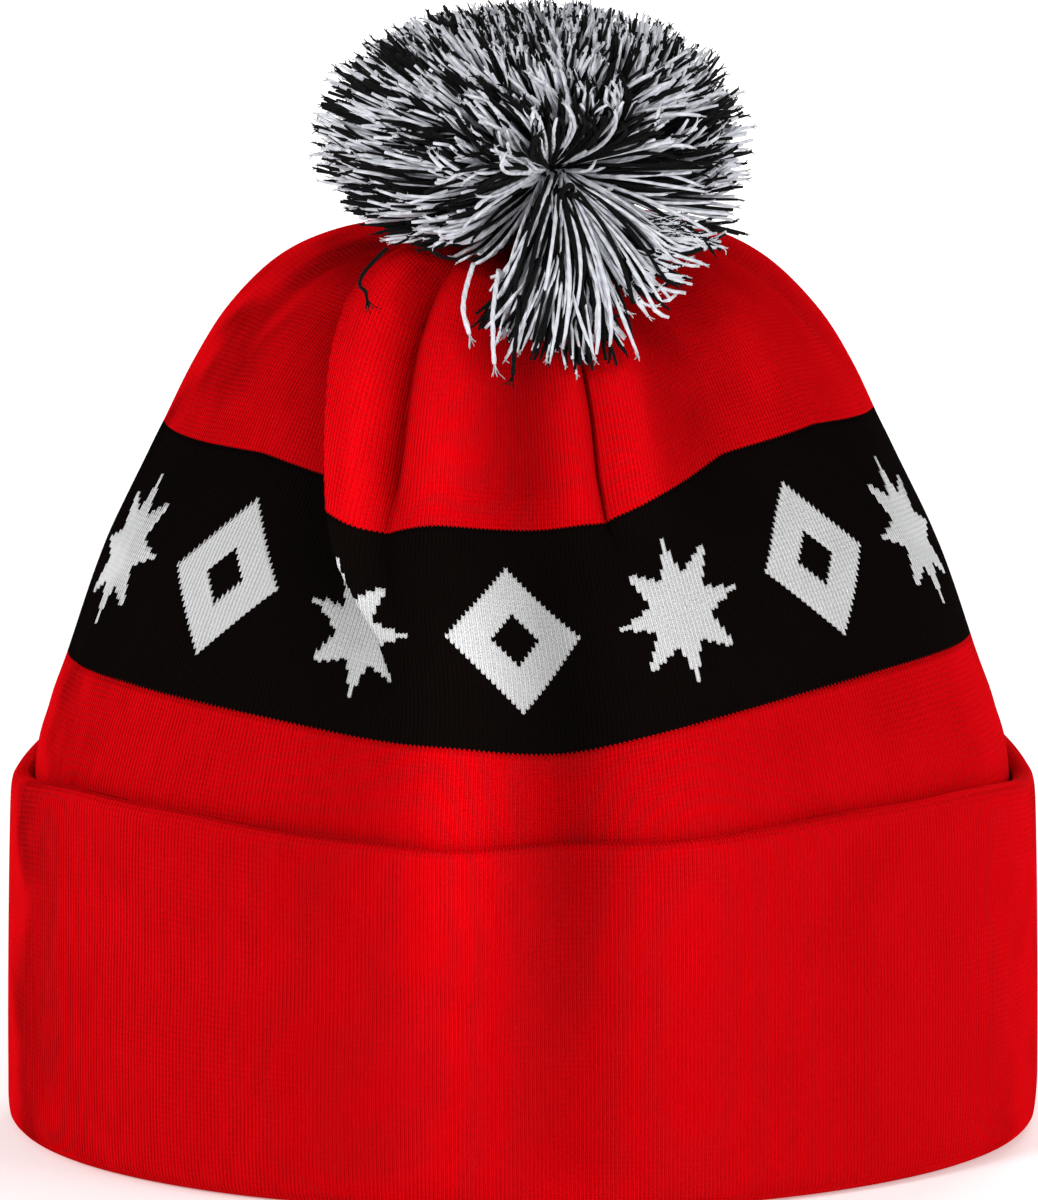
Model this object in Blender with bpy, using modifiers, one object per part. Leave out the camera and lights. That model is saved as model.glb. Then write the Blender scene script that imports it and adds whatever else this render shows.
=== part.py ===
"""A knit beanie: a lined crown with a patterned band, a turned-up cuff and a yarn pompom on a short tether.

Metres, +Z up, front towards -Y. The origin is the centre of the opening, in the plane of the rim.
Lengths in the constants are millimetres; MM turns them into metres where a mesh or a curve is made.
"""

import math

import bmesh
import bpy
from mathutils import Matrix, Vector

MM = 0.001

# Driving sizes. A section is an ellipse, DEPTH_RATIO times as deep as it is wide.
HALF_WIDTH = 101.6
DEPTH_RATIO = 0.76
CUFF_HEIGHT = 75.0
BAND_BOTTOM = 100.0
BAND_TOP = 149.0

# Rows of points round each ellipse; the first is a part of a step past +X, so that no row runs through
# the middle of a figure on the band.
SEGMENTS = 48
FIRST_ROW = 0.37

# Layers, from the body's outer surface inwards.
KNIT = 1.7
LINING = 1.5
GAP = 0.4
LINING_OUTSIDE = -(KNIT + GAP)
LINING_INSIDE = LINING_OUTSIDE - LINING
LINING_SPLIT = 140.0
HEM = 2.6

# The body's side outline from the rim to the gathered hole: half-width and height.
SHOULDER_HEIGHTS = (89.0, 122.0, 142.0)
OUTLINE = (
    (HALF_WIDTH, 0.0),
    (HALF_WIDTH, CUFF_HEIGHT),
    (98.4, SHOULDER_HEIGHTS[0]),
    (94.6, BAND_BOTTOM),
    (87.0, SHOULDER_HEIGHTS[1]),
    (77.6, SHOULDER_HEIGHTS[2]),
    (74.3, BAND_TOP),
    (68.3, 161.0),
    (61.0, 172.0),
    (50.0, 182.5),
    (38.0, 188.2),
    (24.0, 190.4),
    (13.0, 189.2),
    (4.6, 186.0),
)

DOME_TOP = 12

# How far the knit at each height hangs lower at the front and back than at the sides.
SAG = ((78.0, 0.0), (BAND_BOTTOM, 7.0), (BAND_TOP, 11.2), (186.0, 0.0))

# The turned-up cuff: section of its outer layer, as distance out from the body's surface and height.
CUFF_SECTION = (
    (-3.0, 0.0),
    (3.4, 0.0),
    (5.1, 1.2),
    (6.0, 4.0),
    (6.2, 10.0),
    (5.8, 52.0),
    (5.0, 66.0),
    (4.2, 71.8),
    (3.0, 74.4),
    (1.6, 75.0),
    (0.8, 74.0),
    (1.0, 73.0),
    (2.3, 71.6),
    (2.9, 66.0),
    (3.9, 52.0),
    (4.2, 10.0),
    (3.9, 4.0),
    (3.0, 2.0),
    (-3.0, 1.8),
    (-3.6, 1.0),
)
BACKING_INSIDE = 0.5
BACKING = 1.5
BACKING_TOP = 71.2

# The white figures knitted into the band, evenly spaced round it: diamonds and stars in turn.
MOTIFS = 14
MOTIF_HALF_WIDTH = 12.5
MOTIF_HALF_HEIGHT = 16.5
DIAMOND_HOLE = 0.38
STAR_TIPS = (MOTIF_HALF_WIDTH, 14.0, MOTIF_HALF_HEIGHT, 14.0)
STAR_NOTCH = 6.4
MOTIF_GAP = 0.3
POCKET_DEPTH = 1.0
INLAY_DEPTH = 0.7
CUTTER_REACH = 6.0
WELD_DISTANCE = 0.001

# The pompom, in its own frame: the tether's pivot is its origin and it leans forward by REST_NOD.
# Its strands fan out from a tie whose hollow shows at the front.
PIVOT_HEIGHT = 190.0
REST_NOD = math.radians(20)
POMPOM_CENTRE = Vector((1.7, -4.0, 24.0))
POMPOM_RADII = Vector((44.0, 38.0, 30.5))
TIE_DIRECTION = Vector((0.30, -0.93, -0.05)).normalized()
TIE_HOLLOW = 0.62
TIE_HOLLOW_ANGLE = 0.30

# How far the pompom's underside clears the crown: at the neck, and more for each millimetre sideways,
# backwards and past the shoulder, so that it can swing and nod.
NECK_LIFT = 4.4
SIDE_LIFT = 0.17
BACK_LIFT = 0.12
SHOULDER = 46.0
SHOULDER_LIFT = 0.3
REACH_STEP = 0.5

# The fringe that hangs over the front: directions it droops in, how far and how widely.
FRINGE = (
    (Vector((0.20, -0.93, -0.36)).normalized(), 24.0, 0.22),
    (Vector((0.52, -0.80, -0.36)).normalized(), 20.0, 0.26),
    (Vector((0.82, -0.50, -0.34)).normalized(), 8.0, 0.28),
)
# Wedges of strands, with shallow lumps where strands clump together.
TUFTS = 12
TUFT_ROWS = 16
ROWS_NEAR_TIE = 1.4
TUFT_COLUMNS = 4
CORE_RADIUS = 1.3
TUFT_EDGE = 35
CLUMPS_AROUND = 15
CLUMPS_ALONG = 7
CLUMP_DEPTH = 0.05

# The tie: a cord along the core, from its buried end to just under the knot in the hollow.
TIE_ENDS = (-24.0, 14.6)
TIE_POINTS = 4
TIE_KNOT_AT = 24.0

# Loose strands: where each leaves the pompom, as angles from the tie and round it, and its tip in the
# hat's frame at rest.
STRANDS = (
    (0.50, 1.95, (-5.5, -59.0, 172.0)),
    (0.42, 2.15, (-2.0, -60.0, 170.0)),
    (0.62, 1.85, (-10.5, -57.0, 178.0)),
    (1.05, 1.75, (-31.0, -48.0, 184.0)),
)
STRAND_CLEAR = 2.6
STRAND_BEND = 14.0
STRAND_POINTS = 7

# Cords and threads.
CORD_RADIUS = 0.9
TETHER_RADIUS = 0.8
TETHER_SPREAD = 1.1
THREAD_RADIUS = 0.5
STRAND_RADIUS = 1.1
SEAM_STEP = 3.0
SEAM_SWING = 0.8
CUFF_SEAM = (6.0, 68.0)
GATHER_WAVES = 9
GATHER_SWING = 0.7
TETHER_HEIGHTS = (-3.4, -0.4, 2.6)
ANCHOR_BELOW_LINING = 3.2
TAIL_DROP = 3.4
TAIL_SPREAD = 0.9
KNOT_POINTS = 36
ANCHOR_KNOT = (4.4, 1.3)
TIE_KNOT = (2.7, 1.0)

# The care label: width, thickness and length; where it is sewn; and its gap to the lining.
LABEL_SIZE = Vector((24.0, 0.6, 30.0))
LABEL_ANGLE = math.radians(68)
LABEL_TOP = 44.0
LABEL_GAP = 1.4
LABEL_EDGE = 0.15

RED = (0.62, 0.006, 0.012)
BLACK = (0.006, 0.006, 0.007)
WHITE = (0.70, 0.70, 0.74)
YARN_ROUGHNESS = 0.9
SATIN_ROUGHNESS = 0.6

FRONT = -math.pi / 2
BACK = math.pi / 2


def clear_scene():
    for item in list(bpy.data.objects):
        bpy.data.objects.remove(item)


def new_collection(name, hidden=False):
    collection = bpy.data.collections.new(name)
    collection.hide_render = hidden
    bpy.context.scene.collection.children.link(collection)
    return collection


def new_material(name, colour, roughness):
    material = bpy.data.materials.new(name)
    material.use_nodes = True
    shader = material.node_tree.nodes["Principled BSDF"]
    shader.inputs["Base Color"].default_value = (*colour, 1)
    shader.inputs["Roughness"].default_value = roughness
    shader.inputs["Metallic"].default_value = 0
    material.diffuse_color = (*colour, 1)
    return material


def add_object(name, data, material, collection=None):
    item = bpy.data.objects.new(name, data)
    if material:
        data.materials.append(material)
    (collection or PART).objects.link(item)
    return item


def hide_cutter(item):
    item.hide_render = True
    item.display_type = "WIRE"
    return item


def smooth(item, angle=50):
    item.data.shade_smooth()
    item.data.set_sharp_from_angle(angle=math.radians(angle))
    return item


def lerp(pairs, x):
    """The value at x of a line through (x, value) pairs, level beyond its ends."""
    if x <= pairs[0][0]:
        return pairs[0][1]
    for (x0, v0), (x1, v1) in zip(pairs, pairs[1:]):
        if x <= x1:
            return v0 + (v1 - v0) * (x - x0) / (x1 - x0)
    return pairs[-1][1]


def outline_lengths():
    """How far along the outline each of its points is."""
    lengths = [0.0]
    for before, after in zip(OUTLINE, OUTLINE[1:]):
        lengths.append(lengths[-1] + math.dist(before, after))
    return lengths


def outline_normals():
    """The outward direction at each outline point, in (out, up), as the mean of its two edges."""
    edges = [(b[1] - a[1], a[0] - b[0]) for a, b in zip(OUTLINE, OUTLINE[1:])]
    edges = [Vector(edge).normalized() for edge in edges]
    ends = [edges[0], *edges, edges[-1]]
    return [(a + b).normalized() for a, b in zip(ends, ends[1:])]


LENGTHS = outline_lengths()
NORMALS = outline_normals()


def length_at(height):
    """The distance along the outline at a height below the dome."""
    heights = [point[1] for point in OUTLINE[:DOME_TOP]]
    return lerp(list(zip(heights, LENGTHS)), height)


def along_outline(values, length):
    """A value given at each outline point, at a distance along the outline."""
    return lerp(list(zip(LENGTHS, values)), length)


def body_point(length, angle, outward):
    """A point over the body's surface: how far up the outline, round the hat, and out from the surface."""
    sag = lerp([(length_at(height), value) for height, value in SAG], length)
    length -= sag * math.sin(angle) ** 2
    out = along_outline([point[0] for point in OUTLINE], length)
    height = along_outline([point[1] for point in OUTLINE], length)
    normal_out = along_outline([normal[0] for normal in NORMALS], length)
    normal_up = along_outline([normal[1] for normal in NORMALS], length)
    return Vector(
        (
            (out + outward * normal_out) * math.cos(angle),
            (out * DEPTH_RATIO + outward * normal_out) * math.sin(angle),
            height + outward * normal_up,
        )
    )


def loft(name, loops, material, collection=None):
    """One closed body through closed loops of points, the last loop joined to the first."""
    count = len(loops[0])
    points = [tuple(point * MM) for loop in loops for point in loop]
    faces = []
    for row in range(len(loops)):
        above = (row + 1) % len(loops)
        for column in range(count):
            beside = (column + 1) % count
            lower = (row * count + column, row * count + beside)
            upper = (above * count + beside, above * count + column)
            faces.append(lower + upper)
    mesh = bpy.data.meshes.new(name)
    mesh.from_pydata(points, [], faces)
    return smooth(add_object(name, mesh, material, collection))


def angles():
    """The directions of the rows of points up the hat."""
    return [2 * math.pi * (i + FIRST_ROW) / SEGMENTS for i in range(SEGMENTS)]


def wall(name, lengths, outside, inside, material, collection=None):
    """A layer of the body between two offsets from its surface, with rows at these lengths up the outline."""
    rows = [(length, outside) for length in lengths]
    rows += [(length, inside) for length in reversed(lengths)]
    loops = [[body_point(length, angle, offset) for angle in angles()] for length, offset in rows]
    return loft(name, loops, material, collection)


def upright_ring(name, section, material):
    """A ring that follows the rim; its section is given as distance out from the body and height."""
    loops = []
    for outward, height in section:
        flat = [body_point(0, angle, outward) for angle in angles()]
        loops.append([point + Vector((0, 0, height)) for point in flat])
    return loft(name, loops, material)


def cord(name, points, radius, material, closed=False, sides=1):
    """A round cord through these points."""
    curve = bpy.data.curves.new(name, "CURVE")
    curve.dimensions = "3D"
    curve.bevel_depth = radius * MM
    curve.bevel_resolution = sides
    curve.use_fill_caps = True
    spline = curve.splines.new("POLY")
    spline.points.add(len(points) - 1)
    for target, point in zip(spline.points, points):
        target.co = (*(Vector(point) * MM), 1)
    spline.use_cyclic_u = closed
    return add_object(name, curve, material)


def knot_points(radius, height):
    """An overhand knot pulled round its own centre, closed into a loop."""
    points = []
    for i in range(KNOT_POINTS):
        turn = 2 * math.pi * i / KNOT_POINTS
        reach = radius * (2 + math.cos(3 * turn)) / 3
        lift = height * math.sin(3 * turn)
        points.append(Vector((reach * math.cos(2 * turn), reach * math.sin(2 * turn), lift)))
    return points


def rows_between(start, end):
    """The outline's own points between two lengths, with the lengths themselves at the ends."""
    return [start, *(length for length in LENGTHS if start + KNIT < length < end - KNIT), end]


def make_body_panels(red, black):
    band_bottom = length_at(BAND_BOTTOM)
    band_top = length_at(BAND_TOP)
    wall("lower_panel", rows_between(HEM, band_bottom - GAP), 0, -KNIT, red)
    wall("crown_panel", rows_between(band_top + GAP, LENGTHS[-1]), 0, -KNIT, red)
    band_rows = rows_between(band_bottom, band_top)
    return wall("jacquard_band", band_rows, 0, -KNIT, black), band_rows


def make_lining(lining):
    split = length_at(LINING_SPLIT)
    wall("lining_wall", rows_between(HEM, split - GAP), LINING_OUTSIDE, LINING_INSIDE, lining)
    wall("lining_crown", rows_between(split, LENGTHS[-1]), LINING_OUTSIDE, LINING_INSIDE, lining)


def make_cuff(red):
    upright_ring("cuff_face", CUFF_SECTION, red)
    inside = BACKING_INSIDE
    outside = BACKING_INSIDE + BACKING
    section = ((outside, HEM), (outside, BACKING_TOP), (inside, BACKING_TOP), (inside, HEM))
    upright_ring("cuff_backing", section, red)


def middle_of_band():
    return (length_at(BAND_BOTTOM) + length_at(BAND_TOP)) / 2


def band_angles():
    """Angles that space the figures evenly round the middle of the band, the first at the front."""
    steps = 720
    turns = [FRONT + 2 * math.pi * i / steps for i in range(steps + 1)]
    ring = [body_point(middle_of_band(), turn, 0) for turn in turns]
    travelled = [0.0]
    for before, after in zip(ring, ring[1:]):
        travelled.append(travelled[-1] + (after - before).length)
    table = list(zip(travelled, turns))
    return [lerp(table, travelled[-1] * i / MOTIFS) for i in range(MOTIFS)]


def star_outline():
    """Eight tips and eight notches, from the right-hand tip round."""
    points = []
    for i in range(8):
        tip = 2 * math.pi * i / 8
        notch = tip + math.pi / 8
        reach = STAR_TIPS[i % 4]
        points.append((reach * math.cos(tip), reach * math.sin(tip)))
        points.append((STAR_NOTCH * math.cos(notch), STAR_NOTCH * math.sin(notch)))
    return points


def motif_outlines(index, grow):
    """The loops of one figure: a star, or a diamond with a diamond hole, moved out by grow."""
    if index % 2:
        outline = star_outline()
        scale = 1 + grow / STAR_NOTCH
        return [[(x * scale, y * scale) for x, y in outline]]
    wide, high = MOTIF_HALF_WIDTH, MOTIF_HALF_HEIGHT
    diamond = ((0, -high), (wide, 0), (0, high), (-wide, 0))
    edge_distance = wide * high / math.hypot(wide, high)
    outer = 1 + grow / edge_distance
    inner = DIAMOND_HOLE - grow / edge_distance
    return [[(x * scale, y * scale) for x, y in diamond] for scale in (outer, inner)]


def weld(mesh):
    """Joins the caps of a filled curve to its sides."""
    work = bmesh.new()
    work.from_mesh(mesh)
    bmesh.ops.remove_doubles(work, verts=work.verts, dist=WELD_DISTANCE * MM)
    work.to_mesh(mesh)
    work.free()
    return mesh


def place_on_band(angle):
    """The matrix that lays a drawing flat on the middle of the band, its Y up the hat."""
    nudge = 0.02
    middle = middle_of_band()
    across = body_point(middle, angle + nudge, 0) - body_point(middle, angle - nudge, 0)
    up = body_point(middle + 1, angle, 0) - body_point(middle - 1, angle, 0)
    outward = across.cross(up).normalized()
    up.normalize()
    axes = Matrix((up.cross(outward), up, outward)).transposed().to_4x4()
    return Matrix.Translation(body_point(middle, angle, 0) * MM) @ axes


def motif_prism(name, index, angle, grow):
    """The figure as a prism through the band's wall, square to the surface at the figure's centre."""
    curve = bpy.data.curves.new(name, "CURVE")
    curve.dimensions = "2D"
    curve.fill_mode = "BOTH"
    curve.extrude = CUTTER_REACH * MM
    for outline in motif_outlines(index, grow):
        spline = curve.splines.new("POLY")
        spline.points.add(len(outline) - 1)
        for target, (x, y) in zip(spline.points, outline):
            target.co = (x * MM, y * MM, 0, 1)
        spline.use_cyclic_u = True
    drawn = bpy.data.objects.new(name, curve)
    CUTTERS.objects.link(drawn)
    mesh = bpy.data.meshes.new_from_object(drawn)
    bpy.data.objects.remove(drawn)
    mesh.transform(place_on_band(angle))
    return hide_cutter(add_object(name, weld(mesh), None, CUTTERS))


def add_boolean(item, operation, other):
    modifier = item.modifiers.new(operation.title(), "BOOLEAN")
    modifier.operation = operation
    modifier.solver = "EXACT"
    modifier.object = other
    return item


def make_motifs(band, band_rows, white):
    """Each white figure is an inlay lying in a shallow pocket of the band."""
    for index, angle in enumerate(band_angles()):
        pocket_name = f"pocket_{index + 1:02d}"
        pocket = wall(pocket_name, band_rows, POCKET_DEPTH, -POCKET_DEPTH, None, CUTTERS)
        prism = motif_prism(f"pocket_prism_{index + 1:02d}", index, angle, MOTIF_GAP)
        add_boolean(hide_cutter(pocket), "INTERSECT", prism)
        add_boolean(band, "DIFFERENCE", pocket)

        kind = "star" if index % 2 else "diamond"
        inlay = wall(f"{kind}_motif_{index + 1:02d}", band_rows, 0, -INLAY_DEPTH, white)
        prism = motif_prism(f"inlay_prism_{index + 1:02d}", index, angle, 0)
        add_boolean(inlay, "INTERSECT", prism)


def seam_points(place, start, end):
    """A zigzag up the centre back between two lengths; place turns a length into a point."""
    steps = round((end - start) / SEAM_STEP)
    points = []
    for i in range(steps + 1):
        side = SEAM_SWING if i % 2 else -SEAM_SWING
        length = start + (end - start) * i / steps
        points.append(place(length) + Vector((side, 0, 0)))
    return points


def make_seams(red, lining):
    clear = GAP + THREAD_RADIUS
    gather = LENGTHS[-3]
    above_cuff = CUFF_HEIGHT + SEAM_STEP
    inside = LINING_INSIDE - clear - GAP
    face = [(height, outward) for outward, height in CUFF_SECTION[3:8]]

    def on_body(length):
        return body_point(length, BACK, clear)

    def on_lining(length):
        return body_point(length, BACK, inside)

    def on_cuff(height):
        return body_point(0, BACK, lerp(face, height) + clear) + Vector((0, 0, height))

    cord("back_seam", seam_points(on_body, above_cuff, gather), THREAD_RADIUS, red)
    cord("lining_seam", seam_points(on_lining, HEM + 1, gather), THREAD_RADIUS, lining)
    cord("cuff_seam", seam_points(on_cuff, *CUFF_SEAM), THREAD_RADIUS, red)


def gather_ring(name, outward, material):
    """A thread round the gathered hole that rides over and under the pleats."""
    length = (LENGTHS[-2] + LENGTHS[-1]) / 2 - THREAD_RADIUS * 4
    points = []
    for i in range(GATHER_WAVES * 4):
        angle = 2 * math.pi * i / (GATHER_WAVES * 4)
        ride = GATHER_SWING * (1 + math.cos(GATHER_WAVES * angle)) / 2
        points.append(body_point(length, angle, outward + math.copysign(ride, outward)))
    cord(name, points, THREAD_RADIUS, material, closed=True)


def make_anchor(red):
    """The knot inside the crown that keeps the tether from pulling through, and its two cut ends."""
    top = OUTLINE[-1][1] + LINING_INSIDE - ANCHOR_BELOW_LINING
    knot = [point + Vector((0, 0, top)) for point in knot_points(*ANCHOR_KNOT)]
    cord("anchor_knot", knot, TETHER_RADIUS, red, closed=True)
    for name, side in (("anchor_tail_left", -1), ("anchor_tail_right", 1)):
        tail = []
        for i in range(4):
            out = side * (1 + TAIL_SPREAD * i)
            tail.append((out, side * i * TAIL_SPREAD / 2, top - TAIL_DROP * (i + 0.9)))
        cord(name, tail, TETHER_RADIUS, red)


def make_tether(pivot, red):
    """The two cords between the crown's hole and the pompom."""
    for name, side in (("tether_cord_left", -1), ("tether_cord_right", 1)):
        points = [(side * TETHER_SPREAD, 0, height) for height in TETHER_HEIGHTS]
        cord(name, points, TETHER_RADIUS, red, sides=2).parent = pivot


def tie_axes():
    """Two directions square to the tie, so that an angle of 0 points up the pompom."""
    up = Vector((0, 0, 1)) - TIE_DIRECTION * TIE_DIRECTION.z
    up.normalize()
    return up, TIE_DIRECTION.cross(up)


def tie_ray(polar, around):
    """A direction from the pompom's centre, by its angle from the tie and its angle round it."""
    up, side = tie_axes()
    ring = up * math.cos(around) + side * math.sin(around)
    return TIE_DIRECTION * math.cos(polar) + ring * math.sin(polar)


def over_crown(point):
    """Whether a point of the pompom's frame is high enough over the crown for the pompom to swing and nod."""
    placed = Matrix.Rotation(REST_NOD, 3, "X") @ point
    out = math.hypot(placed.x, placed.y / DEPTH_RATIO)
    crown = lerp(sorted(OUTLINE[1:DOME_TOP]), out)
    around_neck = math.hypot(placed.x, placed.y)
    lift = NECK_LIFT + SIDE_LIFT * (around_neck + placed.y) + BACK_LIFT * max(placed.y, 0)
    lift += SHOULDER_LIFT * max(out - SHOULDER, 0)
    return placed.z + PIVOT_HEIGHT > crown + lift


def pompom_reach(ray, polar, around):
    """How far the pompom stands out from its centre along a ray."""
    stretched = Vector((ray.x / POMPOM_RADII.x, ray.y / POMPOM_RADII.y, ray.z / POMPOM_RADII.z))
    clumps = math.sin(CLUMPS_AROUND * around) * math.sin(CLUMPS_ALONG * polar)
    reach = (1 + CLUMP_DEPTH * clumps * math.sin(polar) ** 2) / stretched.length
    for direction, droop, spread in FRINGE:
        reach += droop * math.exp(-((ray.angle(direction) / spread) ** 2))
    reach *= 1 - TIE_HOLLOW * math.exp(-((polar / TIE_HOLLOW_ANGLE) ** 2))
    steps = math.ceil(reach / REACH_STEP)
    for i in range(1, steps + 1):
        if not over_crown(POMPOM_CENTRE + ray * (reach * i / steps)):
            return reach * (i - 1) / steps
    return reach


def tuft_faces():
    """Faces of a wedge whose points are its middle, its two poles, then rows between the poles."""

    def at(row, column):
        if row == 0:
            return 1
        if row == TUFT_ROWS:
            return 2
        return 3 + (row - 1) * (TUFT_COLUMNS + 1) + column

    faces = []
    for row in range(TUFT_ROWS):
        for column in range(TUFT_COLUMNS):
            beside = column + 1
            corners = (at(row, column), at(row + 1, column), at(row + 1, beside), at(row, beside))
            faces.append(tuple(dict.fromkeys(corners)))
        faces.append((0, at(row + 1, 0), at(row, 0)))
        faces.append((0, at(row, TUFT_COLUMNS), at(row + 1, TUFT_COLUMNS)))
    return faces


def tuft(name, index, pivot, material):
    """One wedge of strands that fans out from the tie, kept clear of the core and of its neighbours."""
    start = 2 * math.pi * index / TUFTS
    width = 2 * math.pi / TUFTS
    middle = POMPOM_CENTRE + tie_ray(math.pi / 2, start + width / 2) * CORE_RADIUS

    def place(row, column):
        polar = math.pi * (row / TUFT_ROWS) ** ROWS_NEAR_TIE
        around = start + width * column / TUFT_COLUMNS
        ray = tie_ray(polar, around)
        return middle + ray * pompom_reach(ray, polar, around)

    points = [middle, place(0, 0), place(TUFT_ROWS, 0)]
    for row in range(1, TUFT_ROWS):
        points += [place(row, column) for column in range(TUFT_COLUMNS + 1)]
    mesh = bpy.data.meshes.new(name)
    mesh.from_pydata([tuple(point * MM) for point in points], [], tuft_faces())
    smooth(add_object(name, mesh, material), TUFT_EDGE).parent = pivot


def make_tie(pivot, black):
    """The cord through the middle of the strands, and its knot in the hollow at the front."""
    first, last = TIE_ENDS
    line = []
    for i in range(TIE_POINTS):
        along = first + (last - first) * i / (TIE_POINTS - 1)
        line.append(POMPOM_CENTRE + TIE_DIRECTION * along)
    cord("tie_cord", line, CORD_RADIUS, black).parent = pivot
    up, side = tie_axes()
    turn = Matrix((up, side, TIE_DIRECTION)).transposed()
    centre = POMPOM_CENTRE + TIE_DIRECTION * TIE_KNOT_AT
    loop = [centre + turn @ point for point in knot_points(*TIE_KNOT)]
    cord("tie_knot", loop, TETHER_RADIUS, black, closed=True).parent = pivot


def loose_strand(name, polar, around, tip, pivot, material):
    """A strand that leaves the pompom's surface and bends over to hang down to its tip."""
    ray = tie_ray(polar, around)
    start = POMPOM_CENTRE + ray * (pompom_reach(ray, polar, around) + STRAND_CLEAR)
    bend = start + ray * STRAND_BEND
    end = Matrix.Rotation(-REST_NOD, 3, "X") @ (Vector(tip) - Vector((0, 0, PIVOT_HEIGHT)))
    points = []
    for i in range(STRAND_POINTS):
        t = i / (STRAND_POINTS - 1)
        points.append(start * (1 - t) ** 2 + bend * 2 * t * (1 - t) + end * t * t)
    cord(name, points, STRAND_RADIUS, material).parent = pivot


def make_pompom(pivot, black, white):
    for index in range(TUFTS):
        word, material = ("black", black) if index % 2 else ("white", white)
        tuft(f"{word}_tuft_{index + 1:02d}", index, pivot, material)
    make_tie(pivot, black)
    for index, (polar, around, tip) in enumerate(STRANDS):
        material = black if index % 2 else white
        loose_strand(f"loose_strand_{index + 1}", polar, around, tip, pivot, material)


def make_label(cloth):
    """A blank care label that hangs inside the lining from its sewn upper edge, its origin."""
    nudge = 0.02
    lining = body_point(LABEL_TOP, LABEL_ANGLE, LINING_INSIDE)
    along = body_point(LABEL_TOP, LABEL_ANGLE + nudge, LINING_INSIDE) - lining
    inward = along.cross(Vector((0, 0, -1))).normalized()
    bpy.ops.mesh.primitive_cube_add(size=1)
    label = bpy.context.object
    label.name = "care_label"
    label.users_collection[0].objects.unlink(label)
    PART.objects.link(label)
    label.data.materials.append(cloth)
    label.data.transform(Matrix.Translation((0, 0, -0.5)))
    label.data.transform(Matrix.Diagonal((*(LABEL_SIZE * MM), 1)))
    label.location = (lining + inward * (LABEL_GAP + LABEL_SIZE.y / 2)) * MM
    label.rotation_euler.z = math.atan2(along.y, along.x)
    edges = label.modifiers.new("Edges", "BEVEL")
    edges.width = LABEL_EDGE * MM
    edges.segments = 1


def make_pivot(name, nod):
    pivot = bpy.data.objects.new(name, None)
    PART.objects.link(pivot)
    pivot.location.z = PIVOT_HEIGHT * MM
    pivot.rotation_euler.x = nod
    return pivot


clear_scene()
PART = new_collection("knit_beanie")
CUTTERS = new_collection("cutters", hidden=True)

red_yarn = new_material("red_yarn", RED, YARN_ROUGHNESS)
black_yarn = new_material("black_yarn", BLACK, YARN_ROUGHNESS)
white_yarn = new_material("white_yarn", WHITE, YARN_ROUGHNESS)
lining_yarn = new_material("lining_yarn", RED, YARN_ROUGHNESS)
label_cloth = new_material("label_cloth", WHITE, SATIN_ROUGHNESS)

jacquard_band, jacquard_rows = make_body_panels(red_yarn, black_yarn)
make_motifs(jacquard_band, jacquard_rows, white_yarn)
make_lining(lining_yarn)
make_cuff(red_yarn)
make_seams(red_yarn, lining_yarn)
gather_ring("crown_draw_thread", GAP + THREAD_RADIUS, red_yarn)
gather_ring("lining_draw_thread", LINING_INSIDE - GAP - THREAD_RADIUS, lining_yarn)
make_anchor(red_yarn)
make_tether(make_pivot("tether_pivot", 0), red_yarn)
make_pompom(make_pivot("pompom_pivot", REST_NOD), black_yarn, white_yarn)
make_label(label_cloth)
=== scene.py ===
"""The looks of the knit beanie: knitted layers, a turned-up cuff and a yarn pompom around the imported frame.

Metres, +Z up, front towards -Y. Constants are millimetres unless their comment says otherwise.
The knit is laid out in wales (columns of stitches round the hat) and courses (rows up from the rim).
"""

import math

import bpy
import numpy as np
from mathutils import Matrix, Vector
from mathutils.bvhtree import BVHTree


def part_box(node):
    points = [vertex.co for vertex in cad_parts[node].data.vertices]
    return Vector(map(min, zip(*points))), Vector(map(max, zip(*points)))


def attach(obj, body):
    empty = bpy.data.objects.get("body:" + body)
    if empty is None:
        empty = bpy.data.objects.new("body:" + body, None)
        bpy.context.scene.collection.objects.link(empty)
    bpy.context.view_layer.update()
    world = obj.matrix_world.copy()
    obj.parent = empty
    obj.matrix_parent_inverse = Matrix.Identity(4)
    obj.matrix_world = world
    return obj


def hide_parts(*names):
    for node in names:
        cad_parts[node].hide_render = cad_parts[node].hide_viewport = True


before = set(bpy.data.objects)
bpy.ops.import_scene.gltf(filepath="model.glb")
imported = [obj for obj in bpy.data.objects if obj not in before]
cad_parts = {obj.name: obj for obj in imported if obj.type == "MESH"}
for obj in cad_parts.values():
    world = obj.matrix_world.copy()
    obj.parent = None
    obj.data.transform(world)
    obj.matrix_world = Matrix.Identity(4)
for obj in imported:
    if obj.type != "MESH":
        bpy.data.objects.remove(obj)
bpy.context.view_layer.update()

MM = 0.001


def box_mm(node):
    low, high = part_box(node)
    return np.array(low) / MM, np.array(high) / MM


# Sizes from the frame.
RIM_LOW, RIM_HIGH = box_mm("lower_panel")
CROWN_TOP = box_mm("crown_panel")[1][2]
CUFF_LOW, CUFF_HIGH = box_mm("cuff_face")
HALF_WIDTH = (RIM_HIGH[0] - RIM_LOW[0]) / 2
HALF_DEPTH = (RIM_HIGH[1] - RIM_LOW[1]) / 2
CUFF_HEIGHT = CUFF_HIGH[2]
CUFF_OUT = CUFF_HIGH[0] - HALF_WIDTH

# The knit: stitches round each layer, fewer where the hat is narrower, and the height of one course.
CUFF_WALES = 708
LOWER_WALES = 640
BAND_WALES = 560
CROWN_WALES = 560
COURSE = 1.1
RIB_DEPTH = 0.18
STITCH_DIP = 0.38
INNER_STEP = 6
KNIT = 1.7
LINING_OUTSIDE = -2.15
LINING_INSIDE = -3.5
LINING_WALES = 354
LINING_COURSE = 2.0
LINING_SPLIT = 140
LINING_REACH = 12.0

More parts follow.
